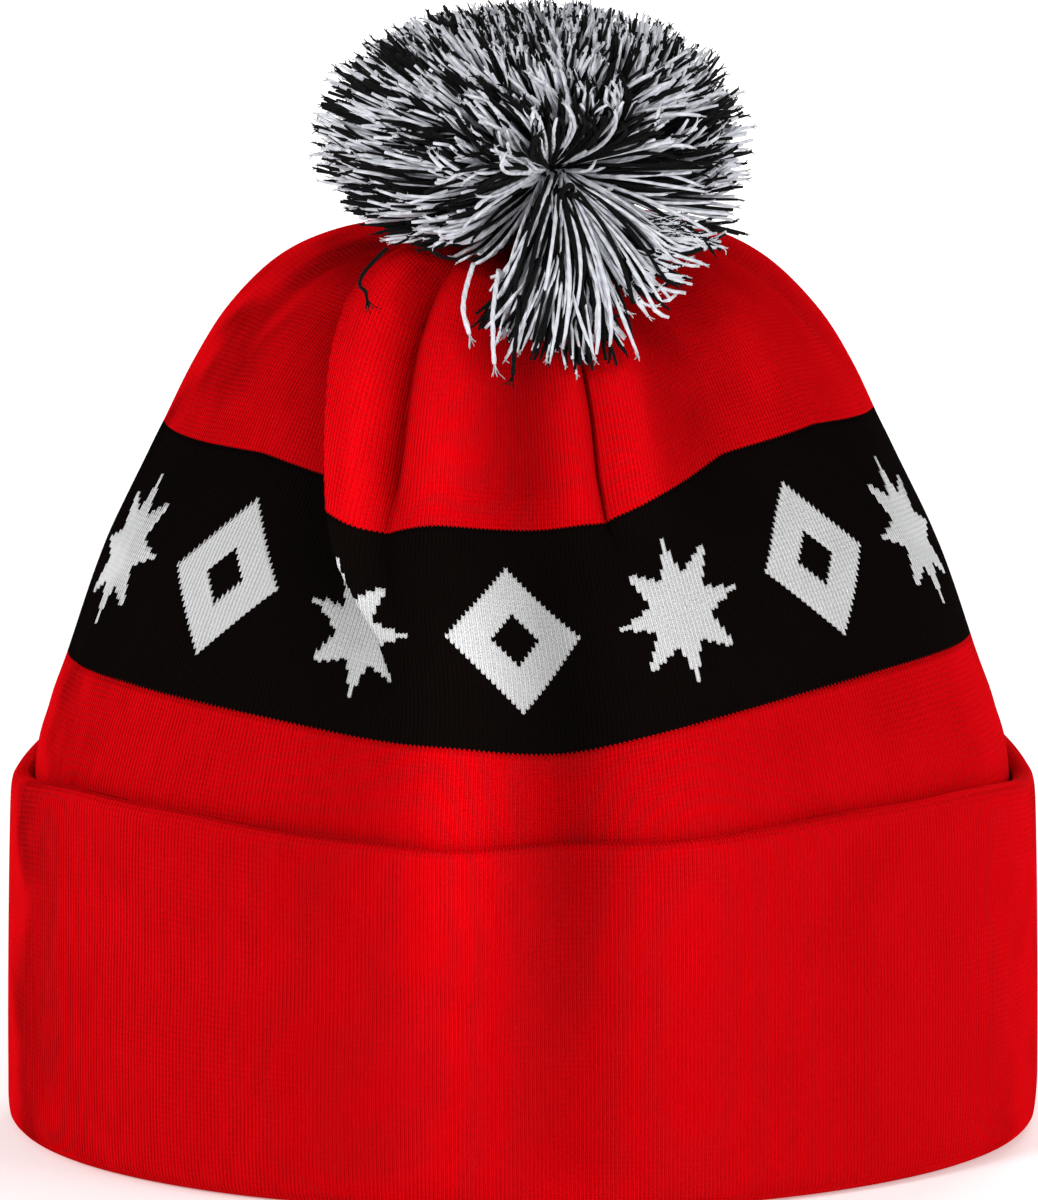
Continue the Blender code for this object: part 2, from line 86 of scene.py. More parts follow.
# The body's side outline from the rim to the gathered hole, as shares of its half-width and height.
OUTLINE = np.array(
    (
        (1.0, 0.0),
        (1.0, 0.20),
        (1.0, 0.392),
        (0.970, 0.467),
        (0.932, 0.525),
        (0.858, 0.640),
        (0.766, 0.745),
        (0.732, 0.782),
        (0.673, 0.845),
        (0.600, 0.903),
        (0.493, 0.958),
        (0.375, 0.988),
        (0.237, 1.0),
        (0.128, 0.993),
        (0.046, 0.977),
    )
)
FINE = 1200

# Heights of the band's two edges round the hat: degrees from the front (positive towards +X) and height.
BAND_BOTTOM = 100.0
BAND_TOP = 149.0
BOTTOM_EDGE = (
    (-180, 95.0),
    (-90, 100.0),
    (-60, 101.2),
    (-32, 99.0),
    (-12, 94.6),
    (0, 93.0),
    (8, 93.8),
    (17, 97.4),
    (30, 101.4),
    (50, 105.0),
    (75, 105.0),
    (90, 103.8),
    (180, 95.0),
)
TOP_EDGE = (
    (-180, 141.0),
    (-120, 146.0),
    (-90, 149.4),
    (-50, 150.2),
    (-34, 147.4),
    (-29.6, 146.0),
    (-26.8, 140.2),
    (-21, 136.6),
    (-10, 138.3),
    (14, 139.0),
    (21, 141.8),
    (32, 148.0),
    (39, 151.8),
    (60, 154.2),
    (90, 152.2),
    (130, 147.0),
    (180, 141.0),
)

# Folds: the height and angle (degrees from the front) of each fold's line, lowest first.
LAPPED_FOLD = (
    (96, -14.0),
    (116, -19.0),
    (131, -24.8),
    (148, -28.9),
    (161, -31.4),
    (178, -35.0),
    (189, -35.0),
)
VALLEY = ((120, -15.0), (138, -17.0), (158, -17.4), (174, -18.0), (186, -17.5), (190, -16.0))
CREASE = ((132, 17.0), (140.5, 15.8), (149, 15.4), (161, 15.6), (173, 15.4), (189, 11.0))
# The heights between which each fold fades in. The valley has two: a faint start and its full depth.
LAPPED_FADE = (98, 142)
VALLEY_START = (114, 136)
VALLEY_FADE = (134, 152)
CREASE_FADE = (130, 147)

# The lapped fold: the width of its step, the cloth it takes up and how far its top layer stands out. The
# crease takes up a little cloth too.
LAPPED_WIDTH = 4.0
LAPPED_FABRIC = 9.0
LAPPED_RISE = 5.0
CREASE_FABRIC = 1.6

# Relief beside each fold's line: millimetres round from the line where the space between the valley and
# the crease is SPACE wide, height and width.
SPACE = 42.0
LAPPED_RELIEF = ((-9, -3.4, 10), (6.0, 1.6, 3.5))
VALLEY_RELIEF = ((8.0, 3.8, 6.5), (25.5, -3.4, 8.5))
CREASE_RELIEF = ((-5, 2.4, 4), (9, 2.6, 6), (26, -2.6, 10))

# How far a sharp fold line reaches to each side, how deep the two are, and how far cloth must sink in for its
# painted shade to be full.
SHARP = 1.8
VALLEY_DEPTH = 5.6
CREASE_DEPTH = 4.0
FULL_SHADE_DEPTH = 4.0

# Slow waves of the lower part, which the cuff shares: degrees from the front, height and width in degrees.
LOW_RELIEF = (
    (-8.0, 3.7, 5.5),
    (6.0, -3.6, 5.5),
    (-24, -0.8, 7),
    (19, 1.0, 6),
    (-62, 0.7, 12),
    (66, 0.8, 14),
    (128, 1.2, 16),
    (214, 1.0, 15),
)
# The share of these waves that reaches the rim, the heights over which they grow, and the heights over which
# all but the last of them ends in the band.
RIM_WAVES = 0.4
WAVES_GROW = (15, 75)
WAVES_END = (112, 146)

# Creases that run down from the gathered hole: degrees from the front and depth.
SOFT_CREASES = ((-68, 1.3), (47, 1.0), (84, 1.6), (118, 1.8), (149, 1.5), (207, 1.6), (246, 1.5))
CREASES_GROW = (145, 182)

# Small pleats at the gathered hole: how many, how high, and the distances from the hole where they start
# and are full.
PLEATS = 23
PLEAT_RISE = 0.8
PLEATS_GROW = (42, 10)

# The height from which courses bend towards the band's bottom edge.
EDGE_BEND = 66.0


def smooth(value, low, high):
    """0 below low, 1 above high, and a smooth ramp between."""
    share = np.clip((value - low) / (high - low), 0, 1)
    return share * share * (3 - 2 * share)


def bell(value, centre, width):
    return np.exp(-(((value - centre) / width) ** 2))


def spline(points, count):
    """A Catmull-Rom curve through these points."""
    points = np.asarray(points, float)
    padded = np.vstack((2 * points[0] - points[1], points, 2 * points[-1] - points[-2]))
    position = np.linspace(0, len(points) - 1, count)
    index = np.minimum(position.astype(int), len(points) - 2)
    t = (position - index)[:, None]
    a, b, c, d = (padded[index + i] for i in range(4))
    return 0.5 * (2 * b + (c - a) * t + (2 * a - 5 * b + 4 * c - d) * t**2 + (3 * b - a - 3 * c + d) * t**3)


def normalised(vectors):
    return vectors / np.linalg.norm(vectors, axis=-1, keepdims=True)


def along(points):
    """How far along a line each of its points is."""
    steps = np.linalg.norm(np.diff(points, axis=0), axis=1)
    return np.concatenate(([0.0], np.cumsum(steps)))


SIDE = spline(OUTLINE * (HALF_WIDTH, CROWN_TOP), FINE)
SIDE_LENGTH = along(SIDE)
SIDE_TANGENT = normalised(np.gradient(SIDE, axis=0))
TOP_INDEX = int(SIDE[:, 1].argmax())
DEPTH_RATIO = HALF_DEPTH / HALF_WIDTH


def length_at(height):
    """The distance up the outline at a height below the dome's top."""
    return np.interp(height, SIDE[:TOP_INDEX, 1], SIDE_LENGTH[:TOP_INDEX])


def surface(length, angle, outward):
    """Points over the body's smooth surface, in millimetres."""
    out = np.interp(length, SIDE_LENGTH, SIDE[:, 0])
    height = np.interp(length, SIDE_LENGTH, SIDE[:, 1])
    normal_out = np.interp(length, SIDE_LENGTH, SIDE_TANGENT[:, 1])
    normal_up = -np.interp(length, SIDE_LENGTH, SIDE_TANGENT[:, 0])
    x = (out + outward * normal_out) * np.cos(angle)
    y = (out * DEPTH_RATIO + outward * normal_out) * np.sin(angle)
    return np.stack((x, y, height + outward * normal_up + 0 * angle), axis=-1)


def wale_angles():
    """The ellipse angle at each share of the way round, starting from the back, equally spaced."""
    angle = np.linspace(math.pi / 2, math.pi / 2 + 2 * math.pi, FINE * 4)
    ring = np.stack((np.cos(angle), DEPTH_RATIO * np.sin(angle)), axis=-1)
    length = along(ring)
    return length / length[-1], angle


SHARES, SHARE_ANGLES = wale_angles()
SHARE_DEGREES = np.degrees(SHARE_ANGLES - SHARE_ANGLES[0]) - 180
GIRTH = along(surface(length_at(BAND_BOTTOM) + 0 * SHARE_ANGLES, SHARE_ANGLES, 0))[-1]


def share_at(degrees):
    """The share of the way round at an angle from the front, positive towards +X."""
    return np.interp(degrees, SHARE_DEGREES, SHARES)


def edge_table(points, blur):
    """A band edge's height at each of SHARES, with its corners rounded over blur degrees."""
    degrees, heights = zip(*points)
    exact = np.interp(SHARES, share_at(np.array(degrees, float)), heights)
    reach = int(blur / 360 * len(SHARES) * 3)
    weights = bell(np.arange(-reach, reach + 1), 0, reach / 3)
    padded = np.concatenate((exact[-reach - 1 : -1], exact, exact[1 : reach + 1]))
    return np.convolve(padded, weights / weights.sum(), mode="valid")


BOTTOM_HEIGHTS = edge_table(BOTTOM_EDGE, 12)
TOP_HEIGHTS = edge_table(TOP_EDGE, 1.6)


def fold_share(line, height):
    heights, degrees = zip(*line)
    return share_at(np.interp(height, heights, degrees))


def course_length(course, share):
    """How far up the outline a course runs at this share of the way round."""
    nominal = course * COURSE
    bottom, top = length_at(BAND_BOTTOM), length_at(BAND_TOP)
    end = SIDE_LENGTH[-1]
    lift_bottom = length_at(np.interp(share, SHARES, BOTTOM_HEIGHTS)) - bottom
    lift_top = length_at(np.interp(share, SHARES, TOP_HEIGHTS)) - top
    below = lift_bottom * smooth(nominal, length_at(EDGE_BEND), bottom)
    inside = lift_bottom + (lift_top - lift_bottom) * np.clip((nominal - bottom) / (top - bottom), 0, 1)
    above = lift_top * (1 - smooth(nominal, top, end))
    return nominal + np.where(nominal < bottom, below, np.where(nominal < top, inside, above))


def low_relief(share, height):
    """How far the lower part stands out in its slow waves, which fade towards the rim."""
    degrees = np.interp(share, SHARES, SHARE_DEGREES)
    waves = 0
    for place, rise, width in LOW_RELIEF:
        waves += rise * bell((degrees - place + 180) % 360 - 180, 0, width)
    return waves * (RIM_WAVES + (1 - RIM_WAVES) * smooth(height, *WAVES_GROW))


def beside(past, relief):
    """Soft ridges and hollows beside a fold's line."""
    return sum(rise * bell(past, place, width) for place, rise, width in relief)


def fold_relief(length, share):
    """How far the folds and soft creases push the cloth out, and how far round they draw it."""
    height = np.interp(length, SIDE_LENGTH, SIDE[:, 1])
    out = np.interp(length, SIDE_LENGTH, SIDE[:, 0])
    girth = GIRTH * out / np.interp(length_at(BAND_BOTTOM), SIDE_LENGTH, SIDE[:, 0])
    calm = 1 - 0.75 * smooth(length, SIDE_LENGTH[-1] - 55, SIDE_LENGTH[-1] - 12)
    past_valley = share - fold_share(VALLEY, height)
    past_crease = share - fold_share(CREASE, height)
    scale = SPACE / (past_valley - past_crease)

    amount = smooth(height, *LAPPED_FADE) * calm
    s = (share - fold_share(LAPPED_FOLD, height)) * girth
    lap = smooth(s, -LAPPED_WIDTH / 2, LAPPED_WIDTH / 2)
    shift = LAPPED_FABRIC * amount * (share - lap) / girth
    rise = lap * (1 - smooth(past_valley * girth, -9, 1))
    radial = amount * (LAPPED_RISE * rise + beside(s, LAPPED_RELIEF))

    amount = (0.3 * smooth(height, *VALLEY_START) + 0.7 * smooth(height, *VALLEY_FADE)) * calm
    radial -= amount * VALLEY_DEPTH * np.exp(-np.abs(past_valley * girth) / SHARP)
    radial += amount * beside(past_valley * scale, VALLEY_RELIEF)

    amount = smooth(height, *CREASE_FADE) * calm
    radial -= amount * CREASE_DEPTH * np.exp(-np.abs(past_crease * girth) / SHARP)
    radial += amount * beside(past_crease * scale, CREASE_RELIEF)
    shift -= amount * CREASE_FABRIC * (smooth(past_crease * girth, -2, 2) - share) / girth

    radial += low_relief(share, height) * (1 - 0.85 * smooth(height, *WAVES_END))
    for degrees, depth in SOFT_CREASES:
        s = (share - share_at(degrees if degrees < 180 else degrees - 360)) * girth
        radial += depth * smooth(height, *CREASES_GROW) * (0.6 * bell(s, 9, 6) - bell(s, 0, 4.5))
    pleats = np.sin(share * 2 * math.pi * PLEATS + 3 * np.sin(share * 14))
    start, full = PLEATS_GROW
    radial += PLEAT_RISE * pleats * smooth(length, SIDE_LENGTH[-1] - start, SIDE_LENGTH[-1] - full)
    return radial, shift


def shade_from_relief(radial):
    """Painted shade from how far cloth sinks in: 1 where it sinks in deep, down to -1, painted highlight, on
    a high ridge.
    """
    return np.clip(-radial / FULL_SHADE_DEPTH, -1, 1)


def folded(length, share, outward):
    """Points of the body at a share of the way round."""
    radial, shift = fold_relief(length, share)
    angle = np.interp((share + shift) % 1.0, SHARES, SHARE_ANGLES)
    return surface(length, angle, outward + radial)


def quads_of(rows, columns, around=True, closed=False):
    """Faces of a grid of points, joined round its columns, and from its last row to its first if closed."""
    row = np.arange(rows if closed else rows - 1)
    column = np.arange(columns if around else columns - 1)
    row, column = np.meshgrid(row, column, indexing="ij")
    beside = (column + 1) % columns
    above = (row + 1) % rows
    corners = ((row, column), (row, beside), (above, beside), (above, column))
    return np.stack([r * columns + c for r, c in corners], axis=-1).reshape(-1, 4)


def add_object(name, data):
    item = bpy.data.objects.new(name, data)
    bpy.context.scene.collection.objects.link(item)
    return item


def make_mesh(name, points, faces, uvs=None, painted_shades=None):
    """A smooth mesh object from points in millimetres, arrays of faces, a uv for each corner and, if given,
    an amount of painted shade for each point.
    """
    groups = faces if isinstance(faces, list) else [faces]
    corners = np.concatenate([group.ravel() for group in groups]).astype(np.int32)
    sizes = np.concatenate([np.full(len(group), group.shape[1]) for group in groups])
    mesh = bpy.data.meshes.new(name)
    mesh.vertices.add(len(points))
    mesh.vertices.foreach_set("co", (np.asarray(points) * MM).astype(np.float32).ravel())
    mesh.loops.add(len(corners))
    mesh.loops.foreach_set("vertex_index", corners)
    mesh.polygons.add(len(sizes))
    mesh.polygons.foreach_set("loop_start", (np.cumsum(sizes) - sizes).astype(np.int32))
    mesh.update(calc_edges=True)
    if uvs is not None:
        layer = mesh.uv_layers.new(name="stitches")
        layer.uv.foreach_set("vector", uvs.astype(np.float32).ravel())
    if painted_shades is not None:
        attribute = mesh.attributes.new("painted_shade", "FLOAT", "POINT")
        attribute.data.foreach_set("value", painted_shades.astype(np.float32).ravel())
    mesh.shade_smooth()
    return add_object(name, mesh)


def finish_piece(item, material, slot, body, *nodes):
    """Gives a piece its material and the body it moves with, and hides the CAD nodes it stands for; slot is
    not used.
    """
    item.data.materials.append(material)
    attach(item, body)
    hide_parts(*nodes)
    return item


def wale_columns(wales):
    """The share of the way round of two columns of points to a wale, and 1 for its middle, 0 for the low
    column between wales.
    """
    columns = np.arange(2 * wales)
    return columns / (2 * wales), columns % 2


def outer_layer(place, courses, wales, outward=0.0):
    """The stitches of a knitted layer's right side, ribbed, with the middle of each stitch a little low."""
    share, middle = wale_columns(wales)
    loops = []
    for course in courses:
        dip = STITCH_DIP * middle * (courses[0] < course < courses[-1])
        loops.append(place(course - dip, share, RIB_DEPTH * (2 * middle - 1) + outward))
    return loops


def stitch_grid(place, first, last, wales, inner=-KNIT):
    """A knitted layer between two courses: its points, with the wrong side coarser, and where each row is."""
    share = wale_columns(wales)[0]
    outer_rows = np.append(np.arange(first, last - 0.5), last)
    inner_rows = np.linspace(last, first, max(2, int((last - first) / INNER_STEP)))
    loops = outer_layer(place, outer_rows, wales)
    for course in inner_rows:
        loops.append(place(course + 0 * share, share, inner))
    return np.array(loops), outer_rows, inner_rows


def grid_uvs(rows, wales, columns):
    """The wale and course at each corner of a ring grid's faces."""
    row = np.arange(len(rows))
    column = np.arange(columns)
    above = (row + 1) % len(rows)
    low = np.asarray(rows, float)
    high = low[above]
    left = column * wales / columns
    right = (column + 1) * wales / columns
    u = np.empty((len(rows), columns, 4))
    v = np.empty((len(rows), columns, 4))
    u[..., 0] = u[..., 3] = left
    u[..., 1] = u[..., 2] = right
    v[..., 0] = v[..., 1] = low[:, None]
    v[..., 2] = v[..., 3] = high[:, None]
    return np.stack((u, v), axis=-1).reshape(-1, 2)


def ring_mesh(name, points, courses, wales, painted_shades=None):
    """A closed mesh from rows of points that go round the hat."""
    rows, columns = points.shape[:2]
    uvs = grid_uvs(courses, wales, columns)
    return make_mesh(name, points.reshape(-1, 3), quads_of(rows, columns, closed=True), uvs, painted_shades)


def knitted_ring(node, place, painted_shade, courses, wales, material, slot, inner=-KNIT):
    """A knitted layer of the body, from the first of these two courses to the last."""
    points, outer, inner_rows = stitch_grid(place, *courses, wales, inner)
    rows = np.concatenate((outer, inner_rows))
    painted_shades = painted_shade(rows[:, None], wale_columns(wales)[0])
    item = ring_mesh(node + "_knit", points, rows, wales, painted_shades)
    return finish_piece(item, material, slot, "shell", node)


# Materials.


class Nodes:
    """Builds a material's node tree; a socket may be a number or another node's output."""

    def __init__(self, name):
        self.material = bpy.data.materials.new(name)
        self.material.use_nodes = True
        self.tree = self.material.node_tree
        self.shader = self.tree.nodes["Principled BSDF"]

    def put(self, socket, value):
        if isinstance(value, bpy.types.NodeSocket):
            self.tree.links.new(value, socket)
        else:
            socket.default_value = value

    def math(self, operation, a, b=0.0, c=0.0, clamp=False):
        node = self.tree.nodes.new("ShaderNodeMath")
        node.operation = operation
        node.use_clamp = clamp
        for socket, value in zip(node.inputs, (a, b, c)):
            self.put(socket, value)
        return node.outputs[0]

    def noise(self, scale, detail=3.0, vector=None):
        node = self.tree.nodes.new("ShaderNodeTexNoise")
        node.inputs["Scale"].default_value = scale
        node.inputs["Detail"].default_value = detail
        self.put(node.inputs["Vector"], vector or self.position())
        return node.outputs["Fac"]

    def position(self):
        return self.tree.nodes.new("ShaderNodeTexCoord").outputs["Object"]

    def scaled(self, x, y, z):
        node = self.tree.nodes.new("ShaderNodeVectorMath")
        node.operation = "MULTIPLY"
        self.put(node.inputs[0], self.position())
        node.inputs[1].default_value = (x, y, z)
        return node.outputs[0]

    def plane(self, x, x_scale, y, y_scale):
        """A vector from two scaled values."""
        node = self.tree.nodes.new("ShaderNodeCombineXYZ")
        self.put(node.inputs["X"], self.math("MULTIPLY", x, x_scale))
        self.put(node.inputs["Y"], self.math("MULTIPLY", y, y_scale))
        return node.outputs[0]

    def uv(self):
        node = self.tree.nodes.new("ShaderNodeUVMap")
        node.uv_map = "stitches"
        split = self.tree.nodes.new("ShaderNodeSeparateXYZ")
        self.tree.links.new(node.outputs[0], split.inputs[0])
        return split.outputs[0], split.outputs[1]

    def mix(self, share, a, b):
        node = self.tree.nodes.new("ShaderNodeMix")
        node.data_type = "RGBA"
        self.put(node.inputs[0], share)
        self.put(node.inputs[6], a if isinstance(a, bpy.types.NodeSocket) else (*a, 1))
        self.put(node.inputs[7], b if isinstance(b, bpy.types.NodeSocket) else (*b, 1))
        return node.outputs[2]

    def attribute(self, name):
        node = self.tree.nodes.new("ShaderNodeAttribute")
        node.attribute_name = name
        return node.outputs["Fac"]

    def scale(self, colour, factor):
        node = self.tree.nodes.new("ShaderNodeVectorMath")
        node.operation = "SCALE"
        self.put(node.inputs[0], colour)
        self.put(node.inputs["Scale"], factor)
        return node.outputs[0]

    def bump(self, height, distance, strength=1.0):
        node = self.tree.nodes.new("ShaderNodeBump")
        node.inputs["Strength"].default_value = strength
        node.inputs["Distance"].default_value = distance * MM
        self.put(node.inputs["Height"], height)
        self.put(self.shader.inputs["Normal"], node.outputs[0])

    def finish(self, colour, roughness, **inputs):
        """Sets the shader's colour, its roughness and any other inputs, and returns the material."""
        self.put(self.shader.inputs["Base Color"], colour)
        self.put(self.shader.inputs["Roughness"], roughness)
        for name, value in inputs.items():
            self.put(self.shader.inputs[name.replace("_", " ")], value)
        return self.material


# Painted shade: knit is made darker where the folds sink in and lighter, as painted highlight, on their
# ridges, by up to this share.
PAINTED_SHADE_SHARE = 0.36

# The courses where each knitted part of the body starts or ends.
FIRST_COURSE = 3
BAND_FIRST = round(float(length_at(BAND_BOTTOM)) / COURSE)
BAND_LAST = round(float(length_at(BAND_TOP)) / COURSE)
CROWN_LAST = int((SIDE_LENGTH[-1] - 1) / COURSE)

# How far, in courses, the stitches below reach up into another colour, and how sharp they end.
TOOTH = 0.75
TOOTH_EDGE = 8.0

# Where the painted shadow between two wales starts, as a share of a wale from its middle, and its darkness.
WALE_EDGE = 0.22
WALE_GAP_SHADOW = 0.50

# How far wales wander sideways, how steep a stitch's legs are, how high they stand in millimetres, and
# the height of yarn under which painted shadow darkens a stitch.
WALE_WANDER = 0.6
LEG_SLANT = 0.8
STITCH_BUMP = 0.35
SHADOWED_BELOW = 0.42


def knit_material(name, colour, shade, gap_shadow, mottle=0.12, below=None):
    """Knitted yarn: two slanting legs to a stitch, painted shadow between wales and where the yarn lies low,
    slow random changes of tone, and painted shade and highlight from the folds.

    below is the colour of the knit underneath, whose last stitches show as teeth, and the first course.
    """
    nodes = Nodes(name)
    wale, course = nodes.uv()
    patches = nodes.noise(70, 4)
    wander = nodes.noise(1, 1, nodes.plane(wale, 0.04, course, 0.05))
    wale = nodes.math("MULTIPLY_ADD", wander, WALE_WANDER, wale)
    across = nodes.math("ABSOLUTE", nodes.math("SUBTRACT", nodes.math("FRACT", wale), 0.5))
    leg = nodes.math("SINE", nodes.math("MULTIPLY", across, 2 * math.pi))
    slant = nodes.math("MULTIPLY_ADD", across, LEG_SLANT, course)
    bulge = nodes.math("ABSOLUTE", nodes.math("SINE", nodes.math("MULTIPLY", slant, math.pi)))
    fibre = nodes.noise(900, 4)
    height = nodes.math("MULTIPLY", leg, nodes.math("MULTIPLY_ADD", bulge, 0.55, 0.45))
    height = nodes.math("MULTIPLY_ADD", fibre, 0.35, height)
    nodes.bump(height, STITCH_BUMP, 0.8)
    tone = nodes.mix(nodes.math("MULTIPLY", patches, 2 * mottle), colour, shade)
    streak = nodes.noise(1, 2, nodes.scaled(420, 420, 60))
    tone = nodes.mix(nodes.math("MULTIPLY", streak, mottle * 1.5), tone, shade)
    # Painted shadow: the stitch is darkened where its yarn lies low and in the gaps between wales.
    low = nodes.math("SUBTRACT", SHADOWED_BELOW, height, clamp=True)
    past_edge = nodes.math("SUBTRACT", across, WALE_EDGE)
    between = nodes.math("MULTIPLY", past_edge, WALE_GAP_SHADOW / (0.5 - WALE_EDGE), clamp=True)
    uneven = nodes.noise(1, 3, nodes.plane(wale, 0.35, course, 0.12))
    uneven = nodes.math("MULTIPLY_ADD", uneven, 1.7, -0.2, clamp=True)
    between = nodes.math("MULTIPLY", between, uneven)
    gap_shadow_share = nodes.math("MULTIPLY_ADD", low, 1.2, between, clamp=True)
    if below:
        tooth = nodes.math("MULTIPLY_ADD", across, -2 * TOOTH, TOOTH + below[1])
        tooth = nodes.math("SUBTRACT", tooth, course)
        tone = nodes.mix(nodes.math("MULTIPLY", tooth, TOOTH_EDGE, clamp=True), tone, below[0])
    tone = nodes.mix(gap_shadow_share, tone, gap_shadow)
    # Painted shade where the folds sink in and painted highlight on their ridges, read from each point's
    # stored amount.
    light = nodes.math("MULTIPLY_ADD", nodes.attribute("painted_shade"), -PAINTED_SHADE_SHARE, 1.0)
    return nodes.finish(nodes.scale(tone, light), 1.0, Specular_IOR_Level=0.03)


def yarn_material(name, colour, shade, sheen):
    """Loose yarn: fibres that run along the strand with a twist, painted shade in the twist's grooves and
    random patches of darker tone.
    """
    nodes = Nodes(name)
    around, length = nodes.uv()
    turn = nodes.math("MULTIPLY", around, 4 * math.pi)
    twist = nodes.math("SINE", nodes.math("MULTIPLY_ADD", length, 2.1, turn))
    fibre = nodes.noise(1400, 3)
    nodes.bump(nodes.math("MULTIPLY_ADD", fibre, 0.8, twist), 0.12, 0.7)
    patches = nodes.noise(160, 2)
    # Painted shade in the grooves of the twist, added to random patches of darker tone.
    groove_shade = nodes.math("MULTIPLY", nodes.math("SUBTRACT", 1.0, twist), 0.12)
    share = nodes.math("MULTIPLY_ADD", patches, 0.5, groove_shade)
    return nodes.finish(nodes.mix(share, colour, shade), 0.85, Specular_IOR_Level=0.08, Sheen_Weight=sheen)


def label_material(name):
    nodes = Nodes(name)
    weave = nodes.noise(1, 1, nodes.scaled(3000, 3000, 300))
    nodes.bump(weave, 0.05)
    return nodes.finish(nodes.mix(weave, (0.68, 0.68, 0.70), (0.78, 0.78, 0.80)), 0.45)


RED = (0.800, 0.0014, 0.0050)
RED_SHADE = (0.500, 0.0006, 0.0016)
RED_GAP_SHADOW = (0.200, 0.0003, 0.0006)
red_knit = knit_material("red_knit", RED, RED_SHADE, RED_GAP_SHADOW)
lining_knit = knit_material("red_lining_knit", RED, RED_SHADE, RED_GAP_SHADOW)
BLACK = (0.0045, 0.0026, 0.0020)
BLACK_SHADE = (0.0020, 0.0012, 0.0010)
BLACK_GAP_SHADOW = (0.0005, 0.0004, 0.0004)
WHITE = (0.76, 0.76, 0.76)
WHITE_SHADE = (0.66, 0.67, 0.70)
WHITE_GAP_SHADOW = (0.36, 0.36, 0.38)
crown_knit = knit_material("red_crown_knit", RED, RED_SHADE, RED_GAP_SHADOW, below=(BLACK, BAND_LAST))
black_knit = knit_material("black_knit", BLACK, BLACK_SHADE, BLACK_GAP_SHADOW, below=(RED, BAND_FIRST))
white_knit = knit_material("white_knit", WHITE, WHITE_SHADE, WHITE_GAP_SHADOW, mottle=0.10)
red_thread = yarn_material("red_thread", RED, RED_SHADE, 0.0)
black_strand = yarn_material("black_strand", (0.0055, 0.0050, 0.0055), (0.0025, 0.0022, 0.0022), 0.02)
white_strand = yarn_material("white_strand", (0.80, 0.81, 0.86), (0.52, 0.54, 0.60), 0.1)
label_cloth = label_material("label_satin")
YARNS = {
    "red": (red_thread, "red_yarn"),
    "black": (black_strand, "black_yarn"),
    "white": (white_strand, "white_yarn"),
}


# The body.


def body_place(course, share, outward):
    return folded(course_length(course, share), share, outward)


# Painted shade and highlight on the body, from how far its folds push the cloth in or out.
def body_painted_shade(course, share):
    return shade_from_relief(fold_relief(course_length(course, share), share)[0])


# White figures round the band, half the width and height of each in stitches, and their inner sizes.
MOTIFS = 14
MOTIF_HALF_WALES = 15
MOTIF_HALF_COURSES = 15
DIAMOND_HOLE = 0.38
STAR_NOTCH = 0.50

# How far a figure stands proud of the band and lies in it, the depth of the band under it, and the gap
# between the body's panels in courses.
FIGURE_PROUD = 0.10
FIGURE_DEPTH = 0.40
FIGURE_POCKET = 0.55
PANEL_GAP = 0.04


def motif_mask(index):
    """The white stitches of a figure's block: a diamond with a diamond hole, or an eight-tipped star."""
    x = np.arange(-MOTIF_HALF_WALES, MOTIF_HALF_WALES + 1) / (MOTIF_HALF_WALES + 0.5)
    y = np.arange(-MOTIF_HALF_COURSES, MOTIF_HALF_COURSES + 1) / (MOTIF_HALF_COURSES + 0.5)
    x, y = np.meshgrid(x, y)
    if index % 2 == 0:
        size = np.abs(x) + np.abs(y)
        return (size < 1.0) & (size > DIAMOND_HOLE)
    step = 2 * math.pi / 8
    turn = np.arctan2(y, x) / step
    off_tip = np.abs(turn - np.round(turn)) * step
    edge = STAR_NOTCH * math.sin(step / 2) / (np.sin(off_tip) + STAR_NOTCH * np.sin(step / 2 - off_tip))
    return np.hypot(x, y) < edge


def band_pattern():
    """The number of the white figure at each stitch of the band, or 0."""
    courses = BAND_LAST - BAND_FIRST
    pattern = np.zeros((courses, BAND_WALES), int)
    middle = courses // 2
    for index in range(MOTIFS):
        centre = round(BAND_WALES / 2 + index * BAND_WALES / MOTIFS)
        mask = motif_mask(index)
        for y in range(-MOTIF_HALF_COURSES, MOTIF_HALF_COURSES + 1):
            for x in range(-MOTIF_HALF_WALES, MOTIF_HALF_WALES + 1):
                if mask[y + MOTIF_HALF_COURSES, x + MOTIF_HALF_WALES]:
                    pattern[middle + y, (centre + x) % BAND_WALES] = index + 1
    return pattern


def make_body():
    below = (FIRST_COURSE, BAND_FIRST - PANEL_GAP)
    above = (BAND_LAST + PANEL_GAP, CROWN_LAST)
    knitted_ring("lower_panel", body_place, body_painted_shade, below, LOWER_WALES, red_knit, "red_yarn")
    knitted_ring("crown_panel", body_place, body_painted_shade, above, CROWN_WALES, crown_knit, "red_yarn")
    make_band()


def make_band():
    """The black band, sunk where the white figures lie in it, and the figures themselves."""
    points, outer, inner_rows = stitch_grid(body_place, BAND_FIRST, BAND_LAST, BAND_WALES)
    white = np.repeat(band_pattern(), 2, axis=1)
    inside = (white > 0) & np.roll(white > 0, 1, axis=1)
    buried = inside[:-1] & inside[1:]
    sunk = np.array(outer_layer(body_place, outer, BAND_WALES, -FIGURE_POCKET))
    points[1 : len(outer) - 1][buried] = sunk[1:-1][buried]
    rows = np.concatenate((outer, inner_rows))
    # Painted shade and highlight from the folds, for the band and its figures.
    painted_shades = body_painted_shade(rows[:, None], wale_columns(BAND_WALES)[0])
    item = ring_mesh("jacquard_band_knit", points, rows, BAND_WALES, painted_shades)
    finish_piece(item, black_knit, "black_yarn", "shell", "jacquard_band")

    top = np.array(outer_layer(body_place, outer, BAND_WALES, FIGURE_PROUD))
    bottom = np.array(outer_layer(body_place, outer, BAND_WALES, -FIGURE_DEPTH))
    for index in range(MOTIFS):
        kind = "star" if index % 2 else "diamond"
        node = f"{kind}_motif_{index + 1:02d}"
        item = cells_piece(node + "_knit", white == index + 1, top, bottom, outer, painted_shades[: len(outer)])
        finish_piece(item, white_knit, "white_yarn", "shell", node)


